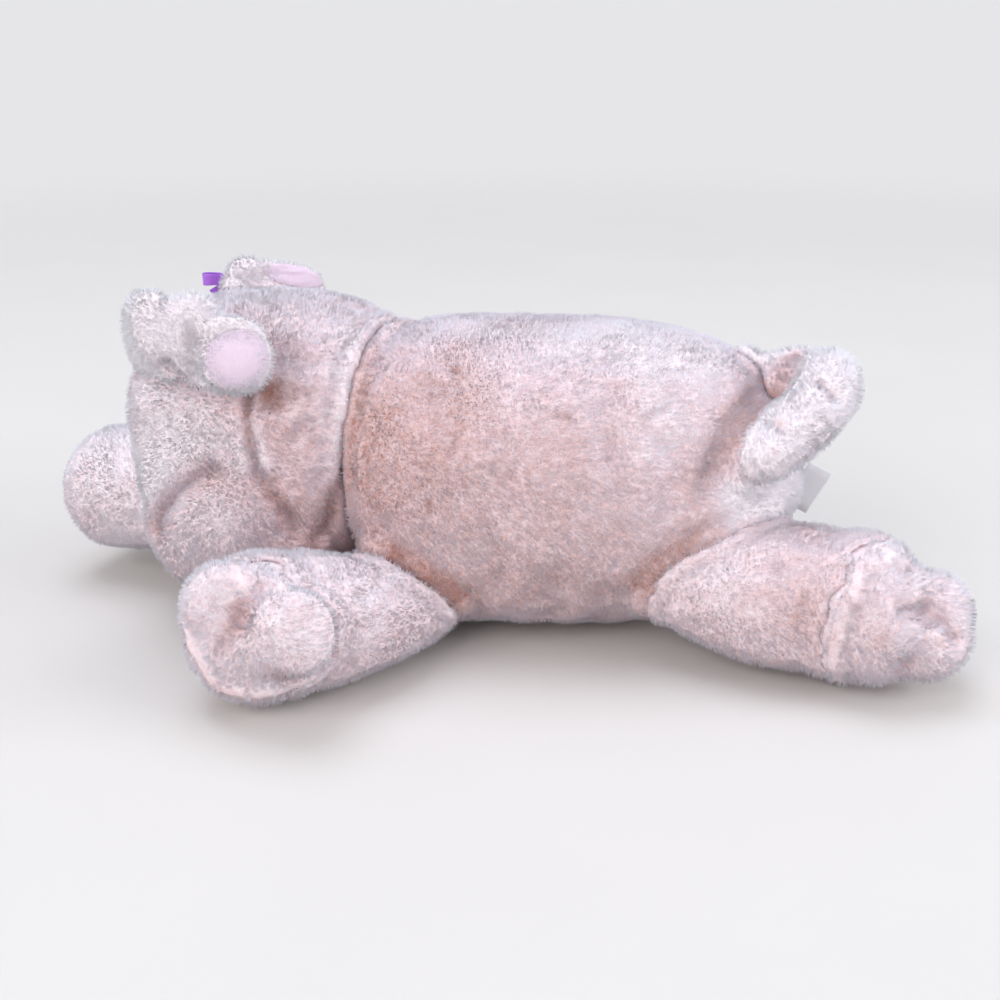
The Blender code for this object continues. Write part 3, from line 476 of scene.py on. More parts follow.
def path_distance(points: Rows, path: Rows) -> Rows:
    """How far each point is from a path of straight steps.

    Args:
        points: places, one a row.
        path: the path's corners, one a row.

    Returns:
        One distance a point.
    """
    best = np.full(len(points), 1e9)
    if len(path) == 1:
        return np.linalg.norm(points - path[0], axis=1)
    for a, b in zip(path[:-1], path[1:]):
        step = b - a
        along = np.clip(((points - a) @ step) / max(float(step @ step), 1e-12), 0, 1)
        best = np.minimum(best, np.linalg.norm(points - (a + along[:, None] * step), axis=1))
    return best


@dataclass(frozen=True)
class Stroke:
    """A crease, dimple or bulge that follows pixels or points on the skin, its sizes in millimetres; its tone
    paints shade along a crease or light on a bulge, and a stroke with no depth is only a patch of painted light or
    shade.
    """

    pixels: tuple[Pixel, ...] = ()
    width: float = 4.0
    depth: float = 3.0
    # Below zero painted shade, above zero painted light, laid on the skin along the path.
    tone: float = -0.3
    tone_width: float = 0.0
    points: tuple[Point, ...] = ()

    def path(self, tree: BVHTree) -> Rows | None:
        """Finds the path on a skin.

        Args:
            tree: the skin's search tree.

        Returns:
            The path's corners, or None where the skin isn't met.
        """
        found = []
        for x, y in self.pixels:
            eye, aim = CAMERA.ray(x, y)
            place = tree.ray_cast(eye, aim)[0]
            if place is None:
                tries = [tree.find_nearest(eye + aim * ahead) for ahead in np.linspace(0.4, 0.8, 41)]
                place, _, _, _ = min(tries, key=lambda found: found[3])
            found.append(place)
        for point in self.points:
            place = tree.find_nearest(Vector(point))[0]
            if place is not None:
                found.append(place)
        return np.array([list(p) for p in found]) if found else None


def node_tree_of(names: tuple[str, ...]) -> BVHTree | None:
    """One search tree over several CAD nodes.

    Args:
        names: the nodes.

    Returns:
        The tree, or None without nodes.
    """
    if not names:
        return None
    corners: list[Vector] = []
    faces: list[tuple[int, ...]] = []
    for name in names:
        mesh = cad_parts[name].data
        start = len(corners)
        corners.extend(v.co.copy() for v in mesh.vertices)
        faces.extend(tuple(start + i for i in p.vertices) for p in mesh.polygons)
    return BVHTree.FromPolygons(corners, faces)


def read_skin(obj: Object) -> tuple[Rows, Rows, Rows]:
    """Reads a mesh into arrays.

    Args:
        obj: the mesh object.

    Returns:
        Vertex places, vertex normals and triangles.
    """
    mesh = obj.data
    mesh.calc_loop_triangles()
    places = np.empty(len(mesh.vertices) * 3)
    normals = np.empty(len(mesh.vertices) * 3)
    faces = np.empty(len(mesh.loop_triangles) * 3, np.int64)
    mesh.vertices.foreach_get("co", places)
    mesh.vertices.foreach_get("normal", normals)
    mesh.loop_triangles.foreach_get("vertices", faces)
    return places.reshape(-1, 3), normals.reshape(-1, 3), faces.reshape(-1, 3)


def write_places(obj: Object, places: Rows) -> None:
    """Puts a mesh's vertices at new places.

    Args:
        obj: the mesh object.
        places: one row a vertex.
    """
    obj.data.vertices.foreach_set("co", places.astype(np.float32).ravel())
    obj.data.update()


def near_share(obj: Object, tree: BVHTree | None, reach: float) -> Rows:
    """How near each vertex is to the neighbours.

    Args:
        obj: the mesh object.
        tree: the neighbours' search tree.
        reach: the distance at which a neighbour no longer counts.

    Returns:
        One at the neighbour and zero from reach on, one value a vertex.
    """
    share = np.zeros(len(obj.data.vertices))
    if tree is None:
        return share
    for i, vertex in enumerate(obj.data.vertices):
        found = tree.find_nearest(vertex.co, reach)[3]
        if found is not None:
            share[i] = 1 - found / reach
    return share * share * (3 - 2 * share)


def inside_share(tree: BVHTree | None, places: Rows, reach: float) -> Rows:
    """Which points lie inside the neighbours' walls.

    Args:
        tree: the neighbours' search tree.
        places: points, one a row.
        reach: the deepest place that still counts.

    Returns:
        True for each point inside.
    """
    found = np.zeros(len(places), bool)
    if tree is None:
        return found
    for i, place in enumerate(places):
        near, normal, _, _ = tree.find_nearest(Vector(place), reach)
        if near is not None:
            found[i] = (Vector(place) - near).dot(normal) < 0
    return found


def deselect() -> None:
    """Leaves nothing selected."""
    bpy.ops.object.select_all(action="DESELECT")


def make_active(obj: Object) -> None:
    """Makes one object the only selected one.

    Args:
        obj: the object.
    """
    deselect()
    obj.select_set(True)
    bpy.context.view_layer.objects.active = obj


def modify(obj: Object, kind: str, **settings: float | str | bool) -> None:
    """Adds a modifier and applies it.

    Args:
        obj: the object.
        kind: the modifier's type.
        settings: its settings by name.
    """
    modifier = obj.modifiers.new(kind.lower(), kind)
    for name, value in settings.items():
        setattr(modifier, name, value)
    make_active(obj)
    bpy.ops.object.modifier_apply(modifier=modifier.name)


@dataclass(frozen=True)
class Bend:
    """How a skin crosses the joint of its body: two distances from the hinge and a direction, which tie doesn't
    use.
    """

    before: float = -4 * MM
    beyond: float = 18 * MM
    along: Point | None = None

    def tie(self, obj: Object, body: str, towards: Rows) -> None:
        """Bakes the piece's place into its mesh, without turning it.

        Args:
            obj: the finished piece.
            body: the moving body, not used.
            towards: a far point of the moving piece, not used.
        """
        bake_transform(obj)


@dataclass(frozen=True)
class Lump:
    """A rounded lobe of a skin, placed where a pixel shows the piece, its sizes in millimetres."""

    pixel: Pixel
    across: float
    high: float
    deep: float
    sink: float
    turn: float = 0.0

    def add(self, tree: BVHTree, middle: Rows) -> Object:
        """Adds the lobe as a stretched sphere.

        Args:
            tree: the CAD piece's search tree.
            middle: the CAD piece's middle, for its depth where the pixel misses it.

        Returns:
            The lobe.
        """
        eye, aim = CAMERA.ray(*self.pixel)
        seen = tree.ray_cast(eye, aim)[0]
        if seen is None:
            seen = eye + aim * (Vector(middle) - eye).dot(aim)
        turned = Matrix.Rotation(CAMERA.tilt, 3, "X") @ Matrix.Rotation(math.radians(self.turn), 3, "Z")
        deselect()
        bpy.ops.mesh.primitive_uv_sphere_add(segments=24, ring_count=14, location=seen + aim * (self.sink * MM))
        lobe = bpy.context.object
        lobe.rotation_euler = turned.to_euler()
        lobe.scale = (self.across * MM, self.high * MM, self.deep * MM)
        bpy.ops.object.transform_apply(location=True, rotation=True, scale=True)
        return lobe


@dataclass
class PlushPart:
    """A stuffed piece: a skin over its filling, swollen like cloth under pressure, with pile; sizes in mm."""

    name: str
    nodes: tuple[str, ...]
    body: str
    neighbours: tuple[str, ...] = ()
    bend: Bend | None = None
    voxel: float = 4.0
    inset: float = 1.6
    swell: float = 2.2
    meet: float = 0.55
    fill: float = 0.6
    pile: float = 2.9
    # Each strand, so many to the square millimetre, stands for a lock of fibres too fine to show.
    density: float = 1.6
    radius: float = 0.2
    radiate: Pixel | None = None
    lumps: tuple[Lump, ...] = ()
    bare: tuple[tuple[float, float, float, float], ...] = ()
    far_node: str = ""
    tuft: int = 5
    gather_share: float = 0.28
    comb: Point = (0.6, 0.0, -0.5)
    trimmed_round: str = ""
    trimmed_by: float = 3.5
    lean: float = 0.35
    tone: float = 0.0
    seed: int = 1
    smooth: int = 3
    refine: int = 1
    strokes: tuple[Stroke, ...] = ()
    skin: Object | None = field(default=None, init=False)
    paths: list[tuple[Stroke, Rows]] = field(default_factory=list, init=False)

    def gather(self) -> Object:
        """Copies the CAD nodes into one mesh and merges its loose triangles.

        Returns:
            The new object.
        """
        made = bmesh.new()
        for node in self.nodes:
            made.from_mesh(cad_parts[node].data)
        bmesh.ops.remove_doubles(made, verts=made.verts, dist=0.01 * MM)
        mesh = bpy.data.meshes.new(self.name)
        made.to_mesh(mesh)
        made.free()
        obj = bpy.data.objects.new(self.name, mesh)
        bpy.context.scene.collection.objects.link(obj)
        if self.lumps:
            tree = node_tree_of(self.nodes)
            middle = read_skin(obj)[0].mean(axis=0)
            lobes = [lump.add(tree, middle) for lump in self.lumps]
            make_active(obj)
            for lobe in lobes:
                lobe.select_set(True)
            bpy.ops.object.join()
        return obj

    def remesh(self, obj: Object) -> None:
        """Gives the piece an even mesh and keeps its largest closed part.

        Args:
            obj: the gathered mesh.
        """
        modify(obj, "REMESH", mode="VOXEL", voxel_size=self.voxel * MM, use_smooth_shade=True)
        keep_largest(obj)
        modify(obj, "SMOOTH", factor=0.5, iterations=self.smooth)

    def draw_in(self, obj: Object, near: Rows) -> None:
        """Moves the skin inwards, to leave room for the pile and the swelling.

        Args:
            obj: the even mesh.
            near: how near each vertex is to a neighbour.
        """
        places, normals, _ = read_skin(obj)
        room = self.inset * MM + ((self.swell * MM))
        places = places - normals * (room * (1 - near) - self.meet * MM * near)[:, None]
        places[:, 2] = np.maximum(places[:, 2], SKIN_FLOOR)
        write_places(obj, places)

    def inflate(self, obj: Object, near: Rows) -> None:
        """Blows the skin up as cloth under pressure, held at its seams, and caps the movement.

        Args:
            obj: the drawn-in mesh.
            near: how near each vertex is to a neighbour.
        """
        before, _, _ = read_skin(obj)
        group = obj.vertex_groups.new(name="held")
        for i in np.nonzero(near > 0.05)[0]:
            group.add([int(i)], min(1.0, float(near[i]) * 2), "REPLACE")
        modifier = obj.modifiers.new("stuffing", "CLOTH")
        cloth = modifier.settings
        for name, value in CLOTH.items():
            setattr(cloth, name, value)
        cloth.effector_weights.gravity = 0.0
        cloth.vertex_group_mass = group.name
        modifier.collision_settings.use_collision = False
        modifier.point_cache.frame_start = 1
        modifier.point_cache.frame_end = CLOTH_STEPS
        scene = bpy.context.scene
        for step in range(1, CLOTH_STEPS + 1):
            scene.frame_set(step)
        make_active(obj)
        bpy.ops.object.modifier_apply(modifier=modifier.name)
        scene.frame_set(1)
        after, _, _ = read_skin(obj)
        move = after - before
        length = np.linalg.norm(move, axis=1)
        allowed = self.swell * MM * (1 - 0.8 * near)
        move *= np.minimum(1.0, allowed / np.maximum(length, 1e-9))[:, None]
        places = before + move
        places[:, 2] = np.maximum(places[:, 2], SKIN_FLOOR)
        write_places(obj, places)
        obj.vertex_groups.clear()

    def sculpt(self, obj: Object) -> None:
        """Presses the creases in and lifts the bulges.

        Args:
            obj: the refined skin.
        """
        tree = BVHTree.FromObject(obj, bpy.context.evaluated_depsgraph_get())
        for stroke in self.strokes:
            path = stroke.path(tree)
            if path is None:
                LOG.warning("%s: a stroke misses the skin", self.name)
                continue
            self.paths.append((stroke, path))
            places, normals, _ = read_skin(obj)
            share = np.exp(-((path_distance(places, path) / (stroke.width * MM)) ** 2))
            places -= normals * (stroke.depth * MM * share)[:, None]
            places[:, 2] = np.maximum(places[:, 2], SKIN_FLOOR)
            write_places(obj, places)

    def build(self, backing: Material, pile: Material) -> None:
        """Makes the skin and its pile, and ties both to their bodies, or, with a bend, bakes their places into
        their meshes.

        Args:
            backing: the skin's material.
            pile: the pile's material.
        """
        obj = self.gather()
        self.remesh(obj)
        tree = node_tree_of(self.neighbours)
        near = near_share(obj, tree, SEAM_REACH)
        self.draw_in(obj, near)
        self.inflate(obj, near)
        if self.refine:
            modify(obj, "SUBSURF", levels=self.refine, render_levels=self.refine)
        self.sculpt(obj)
        places, normals, _ = read_skin(obj)
        # The tone attribute holds painted light and shade as well as the random tone; the ground material reads it.
        tones = obj.data.attributes.new("tone", "FLOAT", "POINT")
        tones.data.foreach_set("value", np.clip(self.tone_and_shade_at(places, normals), 0, 1).astype(np.float32))
        obj.data.materials.clear()
        obj.data.materials.append(backing)
        obj.data.polygons.foreach_set("use_smooth", np.ones(len(obj.data.polygons), bool))
        self.skin = obj
        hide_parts(*self.nodes)
        self.tie(obj)
        strands = self.sow(obj, tree)
        for i, piece in enumerate(self.grow(strands)):
            piece.data.materials.append(pile)
            self.tie(piece)
        LOG.info("%s: %d faces, %d strands", self.name, len(obj.data.polygons), len(strands["root"]))

    def tie(self, obj: Object) -> None:
        """Makes a piece follow its body, or, with a bend, bakes its place into its mesh.

        Args:
            obj: the finished piece.
        """
        if self.bend is None:
            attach(obj, self.body)
        else:
            low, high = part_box(self.far_node or self.nodes[0])
            self.bend.tie(obj, self.body, (np.array(low) + np.array(high)) / 2)

    def sow(self, obj: Object, tree: BVHTree | None) -> Strands:
        """Picks the places where strands grow, and each one's aim, length and tone.

        Args:
            obj: the skin.
            tree: the neighbours' search tree, where no pile grows.

        Returns:
            Arrays named root, normal, tip and tone.
        """
        rng = np.random.default_rng(self.seed)
        places, normals, faces = read_skin(obj)
        a, b, c = (places[faces[:, i]] for i in range(3))
        area = np.linalg.norm(np.cross(b - a, c - a), axis=1) / 2
        middle = (a + b + c) / 3
        facing = unit(normals[faces[:, 0]] + normals[faces[:, 1]] + normals[faces[:, 2]])
        open_share = np.ones(len(faces))
        open_share[inside_share(tree, middle + facing * PROBE, PROBE_DEPTH)] = 0
        open_share[middle[:, 2] < RESTING] = RESTING_SHARE
        for x, y, across, high in self.bare:
            away = (CAMERA.pixels(middle) - np.array([x, y])) / (np.array([across, high]) * BARE_SHARE)
            open_share[(np.linalg.norm(away, axis=1) < 1) & (facing[:, 1] < 0.1)] = 0
        weight = area * open_share
        count = int(weight.sum() * 1e6 * self.density)
        picked = rng.choice(len(faces), count, p=weight / weight.sum())
        u, v = rng.random(count), rng.random(count)
        flip = u + v > 1
        u[flip], v[flip] = 1 - u[flip], 1 - v[flip]
        w = 1 - u - v
        chosen = faces[picked]
        shares = np.stack([w, u, v], axis=1)[:, :, None]
        root = (places[chosen] * shares).sum(axis=1)
        normal = unit((normals[chosen] * shares).sum(axis=1))
        strands = self.comb_out(root, normal, tree, rng)
        if tree is not None:
            self.slide_off(strands["tip"], tree)
        if self.trimmed_round:
            low, high = (np.array(corner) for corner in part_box(self.trimmed_round))
            away = np.maximum(np.maximum(low - strands["tip"], strands["tip"] - high), 0)
            kept = np.linalg.norm(away, axis=1) > self.trimmed_by * MM
            strands = {key: value[kept] for key, value in strands.items()}
        return strands

    def slide_off(self, tips: Rows, tree: BVHTree) -> None:
        """Lays the tips that would enter a neighbour on its surface, so that the pile fills the seam.

        Args:
            tips: the strands' tips, changed in place.
            tree: the neighbours' search tree.
        """
        for i, tip in enumerate(tips):
            near, normal, _, _ = tree.find_nearest(Vector(tip), TIP_REACH)
            if near is not None and (Vector(tip) - near).dot(normal) < PILE_GAP:
                tips[i] = near + normal * PILE_GAP

    def comb_out(
        self, root: Rows, normal: Rows, tree: BVHTree | None, rng: np.random.Generator
    ) -> Strands:
        """Leans the strands, over a seam too, gathers them in tufts and picks their tones.

        Args:
            root: where the strands grow.
            normal: the skin's normal there.
            tree: the neighbours' search tree.
            rng: seeded chance.

        Returns:
            Arrays named root, normal, tip and tone.
        """
        count = len(root)
        comb = np.array(self.comb)
        side = np.stack([drift(root, WIDE_SWIRL, self.seed + k) for k in range(3)], axis=1)
        fine = np.stack([drift(root, FINE_SWIRL, self.seed + 7 + k) for k in range(3)], axis=1)
        lean = comb * self.lean + side * 0.28 + fine * 0.2 + rng.normal(size=(count, 3)) * 0.14
        if tree is not None:
            for i, place in enumerate(root):
                near, _, _, away = tree.find_nearest(Vector(place), LEAN_REACH)
                if near is not None:
                    lean[i] += (np.array(near) - place) / max(away, 1e-6) * (1 - away / LEAN_REACH) * 1.4
        if self.radiate is not None:
            heart = self.anchor(self.radiate)
            away = root - heart
            near_heart = np.exp(-((np.linalg.norm(away, axis=1) / RADIATE_REACH) ** 2))
            lean += unit(away) * 0.9 * near_heart[:, None]
        lean -= normal * np.sum(lean * normal, axis=1, keepdims=True)
        aim = unit(normal + lean)
        length = self.pile * MM * (0.85 + 0.3 * rng.random(count))
        length *= 1 + 0.12 * drift(root, LENGTH_PATCH, self.seed + 3)
        tip = root + aim * length[:, None]
        tufts = rng.choice(count, max(1, count // self.tuft), replace=False)
        finder = KDTree(len(tufts))
        for i, t in enumerate(tufts):
            finder.insert(root[t], i)
        finder.balance()
        nearest = np.array([finder.find(p)[1] for p in root])
        heart = tip[tufts[nearest]]
        tip = tip + (heart - tip) * (self.gather_share + 0.2 * rng.random(count))[:, None]
        tip[:, 2] = np.maximum(tip[:, 2], PILE_GAP)
        tone = self.tone_and_shade_at(root, normal) + 0.06 * rng.normal(size=len(tufts))[nearest]
        tone += 0.04 * rng.normal(size=count)
        return {"root": root, "normal": normal, "tip": tip, "tone": np.clip(tone, 0.02, 0.98)}

    def tone_and_shade_at(self, places: Rows, normals: Rows) -> Rows:
        """How pale the pile is, from 0, warm and dark, to 1, nearly white: random patches of tone, with painted
        light on skin that faces up, and the strokes' painted shade in creases and painted light on lit bulges and
        patches.

        Args:
            places: points of the skin.
            normals: its normals there.

        Returns:
            One tone a point.
        """
        # Painted light: skin that faces up is paler, as if lit from above.
        tone = 0.52 + self.tone + 0.1 * normals[:, 2]
        for k, patch in enumerate(TONE_PATCHES):
            tone += 0.05 * drift(places, patch, self.seed + 21 + k)
        # The strokes paint shade along creases and light on lit bulges and patches.
        for stroke, path in self.paths:
            reach = (stroke.tone_width or stroke.width * 1.3) * MM
            tone += 0.7 * stroke.tone * np.exp(-((path_distance(places, path) / reach) ** 2))
        return tone

    def anchor(self, pixel: Pixel) -> Rows:
        """Finds the point of the skin that a pixel shows.

        Args:
            pixel: its place in the photograph.

        Returns:
            The point.
        """
        tree = BVHTree.FromObject(self.skin, bpy.context.evaluated_depsgraph_get())
        place = tree.ray_cast(*CAMERA.ray(*pixel))[0]
        return np.array(list(place)) if place is not None else np.zeros(3)

    def grow(self, strands: Strands) -> list[Object]:
        """Makes the strands' meshes, in pieces that stay light enough.

        Args:
            strands: arrays named root, normal, tip and tone.

        Returns:
            The pile's pieces.
        """
        order = np.argsort(strands["root"][:, 0])
        pieces = max(1, math.ceil(len(order) / PIECE_STRANDS))
        made = []
        for i, part in enumerate(np.array_split(order, pieces)):
            chosen = {key: value[part] for key, value in strands.items()}
            name = f"{self.name}_pile" + (f"_{i + 1}" if pieces > 1 else "")
            made.append(strand_mesh(name, chosen, self.radius * MM, self.seed + i))
        return made


def keep_largest(obj: Object) -> None:
    """Removes all but the largest closed part of a mesh.

    Args:
        obj: the mesh object.
    """
    made = bmesh.new()
    made.from_mesh(obj.data)
    left, parts = set(made.verts), []
    while left:
        seed = left.pop()
        part, edge = {seed}, [seed]
        while edge:
            vertex = edge.pop()
            for link in vertex.link_edges:
                other = link.other_vert(vertex)
                if other in left:
                    left.discard(other)
                    part.add(other)
                    edge.append(other)
        parts.append(part)
    parts.sort(key=len)
    loose = [v for part in parts[:-1] for v in part]
    bmesh.ops.delete(made, geom=loose, context="VERTS")
    made.to_mesh(obj.data)
    made.free()
    obj.data.update()


def strand_mesh(name: str, strands: Strands, radius: float, seed: int) -> Object:
    """Makes closed three-sided strands that taper from root to tip.

    Args:
        name: the piece's name.
        strands: arrays named root, normal, tip and tone.
        radius: the root's radius.
        seed: picks each strand's turn.

    Returns:
        The piece.
    """
    rng = np.random.default_rng(seed)
    root, normal, tip, tone = (strands[k] for k in ("root", "normal", "tip", "tone"))
    count = len(root)
    helper = np.where(np.abs(normal[:, 2:3]) < 0.9, np.array([[0.0, 0.0, 1.0]]), np.array([[1.0, 0.0, 0.0]]))
    side = unit(np.cross(normal, helper))
    other = np.cross(normal, side)
    phase = rng.uniform(0, math.tau, count)
    corners, shading = [], []
    for k in range(3):
        turn = phase + k * math.tau / 3
        out = side * np.cos(turn)[:, None] + other * np.sin(turn)[:, None]
        corners.append(root - normal * 0.3 * MM + out * radius)
        shading.append(unit(normal + 0.22 * out))
    corners.append(tip)
    shading.append(unit(normal + 0.25 * unit(tip - root)))
    places = np.stack(corners, axis=1).reshape(-1, 3)
    smooth = np.stack(shading, axis=1).reshape(-1, 3)
    start = np.arange(count)[:, None] * 4
    faces = (start[:, :, None] + np.array([[[0, 1, 3], [1, 2, 3], [2, 0, 3], [2, 1, 0]]])).reshape(-1, 3)
    rise = np.array([0.0, 0.0, 0.0, 1.0])[faces % 4].ravel()
    across = np.repeat(tone, 12)
    mesh = bpy.data.meshes.new(name)
    mesh.vertices.add(len(places))
    mesh.vertices.foreach_set("co", places.astype(np.float32).ravel())
    mesh.loops.add(faces.size)
    mesh.loops.foreach_set("vertex_index", faces.astype(np.int32).ravel())
    mesh.polygons.add(len(faces))
    mesh.polygons.foreach_set("loop_start", np.arange(0, faces.size, 3, dtype=np.int32))
    mesh.polygons.foreach_set("use_smooth", np.ones(len(faces), bool))
    mesh.update(calc_edges=True)
    layer = mesh.uv_layers.new(name="OFBake")
    layer.data.foreach_set("uv", np.stack([across, rise], axis=1).astype(np.float32).ravel())
    mesh.normals_split_custom_set_from_vertices(smooth.astype(np.float32))
    obj = bpy.data.objects.new(name, mesh)
    bpy.context.scene.collection.objects.link(obj)
    return obj


@dataclass
class Studio:
    """The pale floor and backdrop and the soft lamps."""

    flat: float = 3.0
    cove: float = 0.9
    wall: float = 1.3
    key_power: float = 52.0
    fill_power: float = 46.0
    side_power: float = 34.0
    sky: float = 0.6

    def build(self, paint: Material) -> None:
        """Adds the floor, the lamps and the world's light.

        Args:
            paint: the floor's material.
        """
        deselect()
        bpy.ops.mesh.primitive_grid_add(x_subdivisions=96, y_subdivisions=64, size=2.0)
        floor = bpy.context.object
        floor.name = "studio_backdrop"
        places, _, _ = read_skin(floor)
        angle = (places[:, 0] + 1) * math.pi
        along = (places[:, 1] + 1) / 2 * (self.flat + self.cove * math.tau / 4 + self.wall)
        turn = np.clip((along - self.flat) / self.cove, 0, math.tau / 4)
        out = np.minimum(along, self.flat) + self.cove * np.sin(turn)
        rise = np.maximum(along - self.flat - self.cove * math.tau / 4, 0)
        places = np.stack([out * np.cos(angle), out * np.sin(angle), self.cove * (1 - np.cos(turn)) + rise], axis=1)
        write_places(floor, places)
        bpy.ops.object.mode_set(mode="EDIT")
        bpy.ops.mesh.select_all(action="SELECT")
        bpy.ops.mesh.remove_doubles(threshold=0.1 * MM)
        bpy.ops.object.mode_set(mode="OBJECT")
        floor.data.polygons.foreach_set("use_smooth", np.ones(len(floor.data.polygons), bool))
        floor.data.materials.append(paint)
        self.lamp("key_softbox", (-0.5, 0.5, 3.2), 2.2, self.key_power, "#ECF1FF")
        self.lamp("fill_softbox", (-1.7, -2.1, 1.5), 2.0, self.fill_power, "#FFFCFC")
        self.lamp("side_softbox", (2.3, -0.7, 1.0), 1.6, self.side_power, "#FBFBFF")
        world = bpy.data.worlds.new("studio_world")
        bpy.context.scene.world = world
        world.use_nodes = True
        tree = world.node_tree
        tree.nodes.clear()
        rays = add_node(tree, "LightPath")
        seen = add_node(tree, "Math", {"operation": "MAXIMUM"},
                        links={0: rays.outputs["Is Camera Ray"], 1: rays.outputs["Is Glossy Ray"]})
        soft = add_node(tree, "Background", values={0: linear("#F4F6FA"), 1: self.sky})
        pale = add_node(tree, "Background", values={0: linear("#ECEBE9"), 1: 1.0})
        mixed = add_node(tree, "MixShader",
                         links={0: seen.outputs[0], 1: soft.outputs[0], 2: pale.outputs[0]})
        add_node(tree, "OutputWorld", links={0: mixed.outputs[0]})
        bpy.context.scene.view_settings.view_transform = "Standard"

    def lamp(self, name: str, place: Point, size: float, power: float, colour: str) -> None:
        """Adds one square soft lamp aimed at the object.

        Args:
            name: its name.
            place: where it hangs.
            size: its side in metres.
            power: its watts.
            colour: its hex colour.
        """
        data = bpy.data.lights.new(name, "AREA")
        data.size = size
        data.energy = power
        data.color = linear(colour)[:3]
        obj = bpy.data.objects.new(name, data)
        obj.location = place
        obj.rotation_euler = (Vector((0, 0, 0.06)) - Vector(place)).to_track_quat("-Z", "Y").to_euler()
        bpy.context.scene.collection.objects.link(obj)


@dataclass
class Lining:
    """A smooth lining sewn to an ear: an oval of tricot that follows the ear's skin."""

    name: str
    node: str
    body: str
    pixel: Pixel
    across: float
    high: float
    turn: float
    puff: float = 1.1 * MM
    rim: float = 0.5 * MM
    thickness: float = 0.8 * MM

    def build(self, ear: PlushPart, cloth: Material) -> None:
        """Lays a rounded grid on the ear's skin, thickens it and rounds its edge.

        Args:
            ear: the ear that it lines, built.
            cloth: the lining's material.
        """
        deselect()
        bpy.ops.mesh.primitive_grid_add(x_subdivisions=22, y_subdivisions=22, size=2.0)
        obj = bpy.context.object
        obj.name = self.name
        flat, _, _ = read_skin(obj)
        x = flat[:, 0] * np.sqrt(1 - flat[:, 1] ** 2 / 2)
        y = flat[:, 1] * np.sqrt(1 - flat[:, 0] ** 2 / 2)
        out = np.sqrt(x * x + y * y)
        swing = math.radians(self.turn)
        px = self.pixel[0] + x * self.across * math.cos(swing) + y * self.high * math.sin(swing)
        py = self.pixel[1] + x * self.across * math.sin(swing) - y * self.high * math.cos(swing)
        tree = BVHTree.FromObject(ear.skin, bpy.context.evaluated_depsgraph_get())
        places = np.zeros_like(flat)
        for k in range(len(flat)):
            eye, aim = CAMERA.ray(px[k], py[k])
            seen = tree.ray_cast(eye, aim)[0]
            if seen is None:
                ahead = (Vector(places[k - 1]) - eye).dot(aim) if k else 0.5
                seen = tree.find_nearest(eye + aim * ahead)[0]
            places[k] = seen - aim * (self.rim + self.puff * (1 - out[k] ** 4))
        write_places(obj, places)
        modify(obj, "SMOOTH", factor=0.5, iterations=4)
        modify(obj, "SOLIDIFY", thickness=self.thickness, offset=0.0)
        modify(obj, "SUBSURF", levels=1, render_levels=1)
        bpy.ops.object.shade_smooth()
        obj.data.materials.append(cloth)
        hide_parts(self.node)
        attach(obj, self.body)
        LOG.info("%s: %d faces", self.name, len(obj.data.polygons))


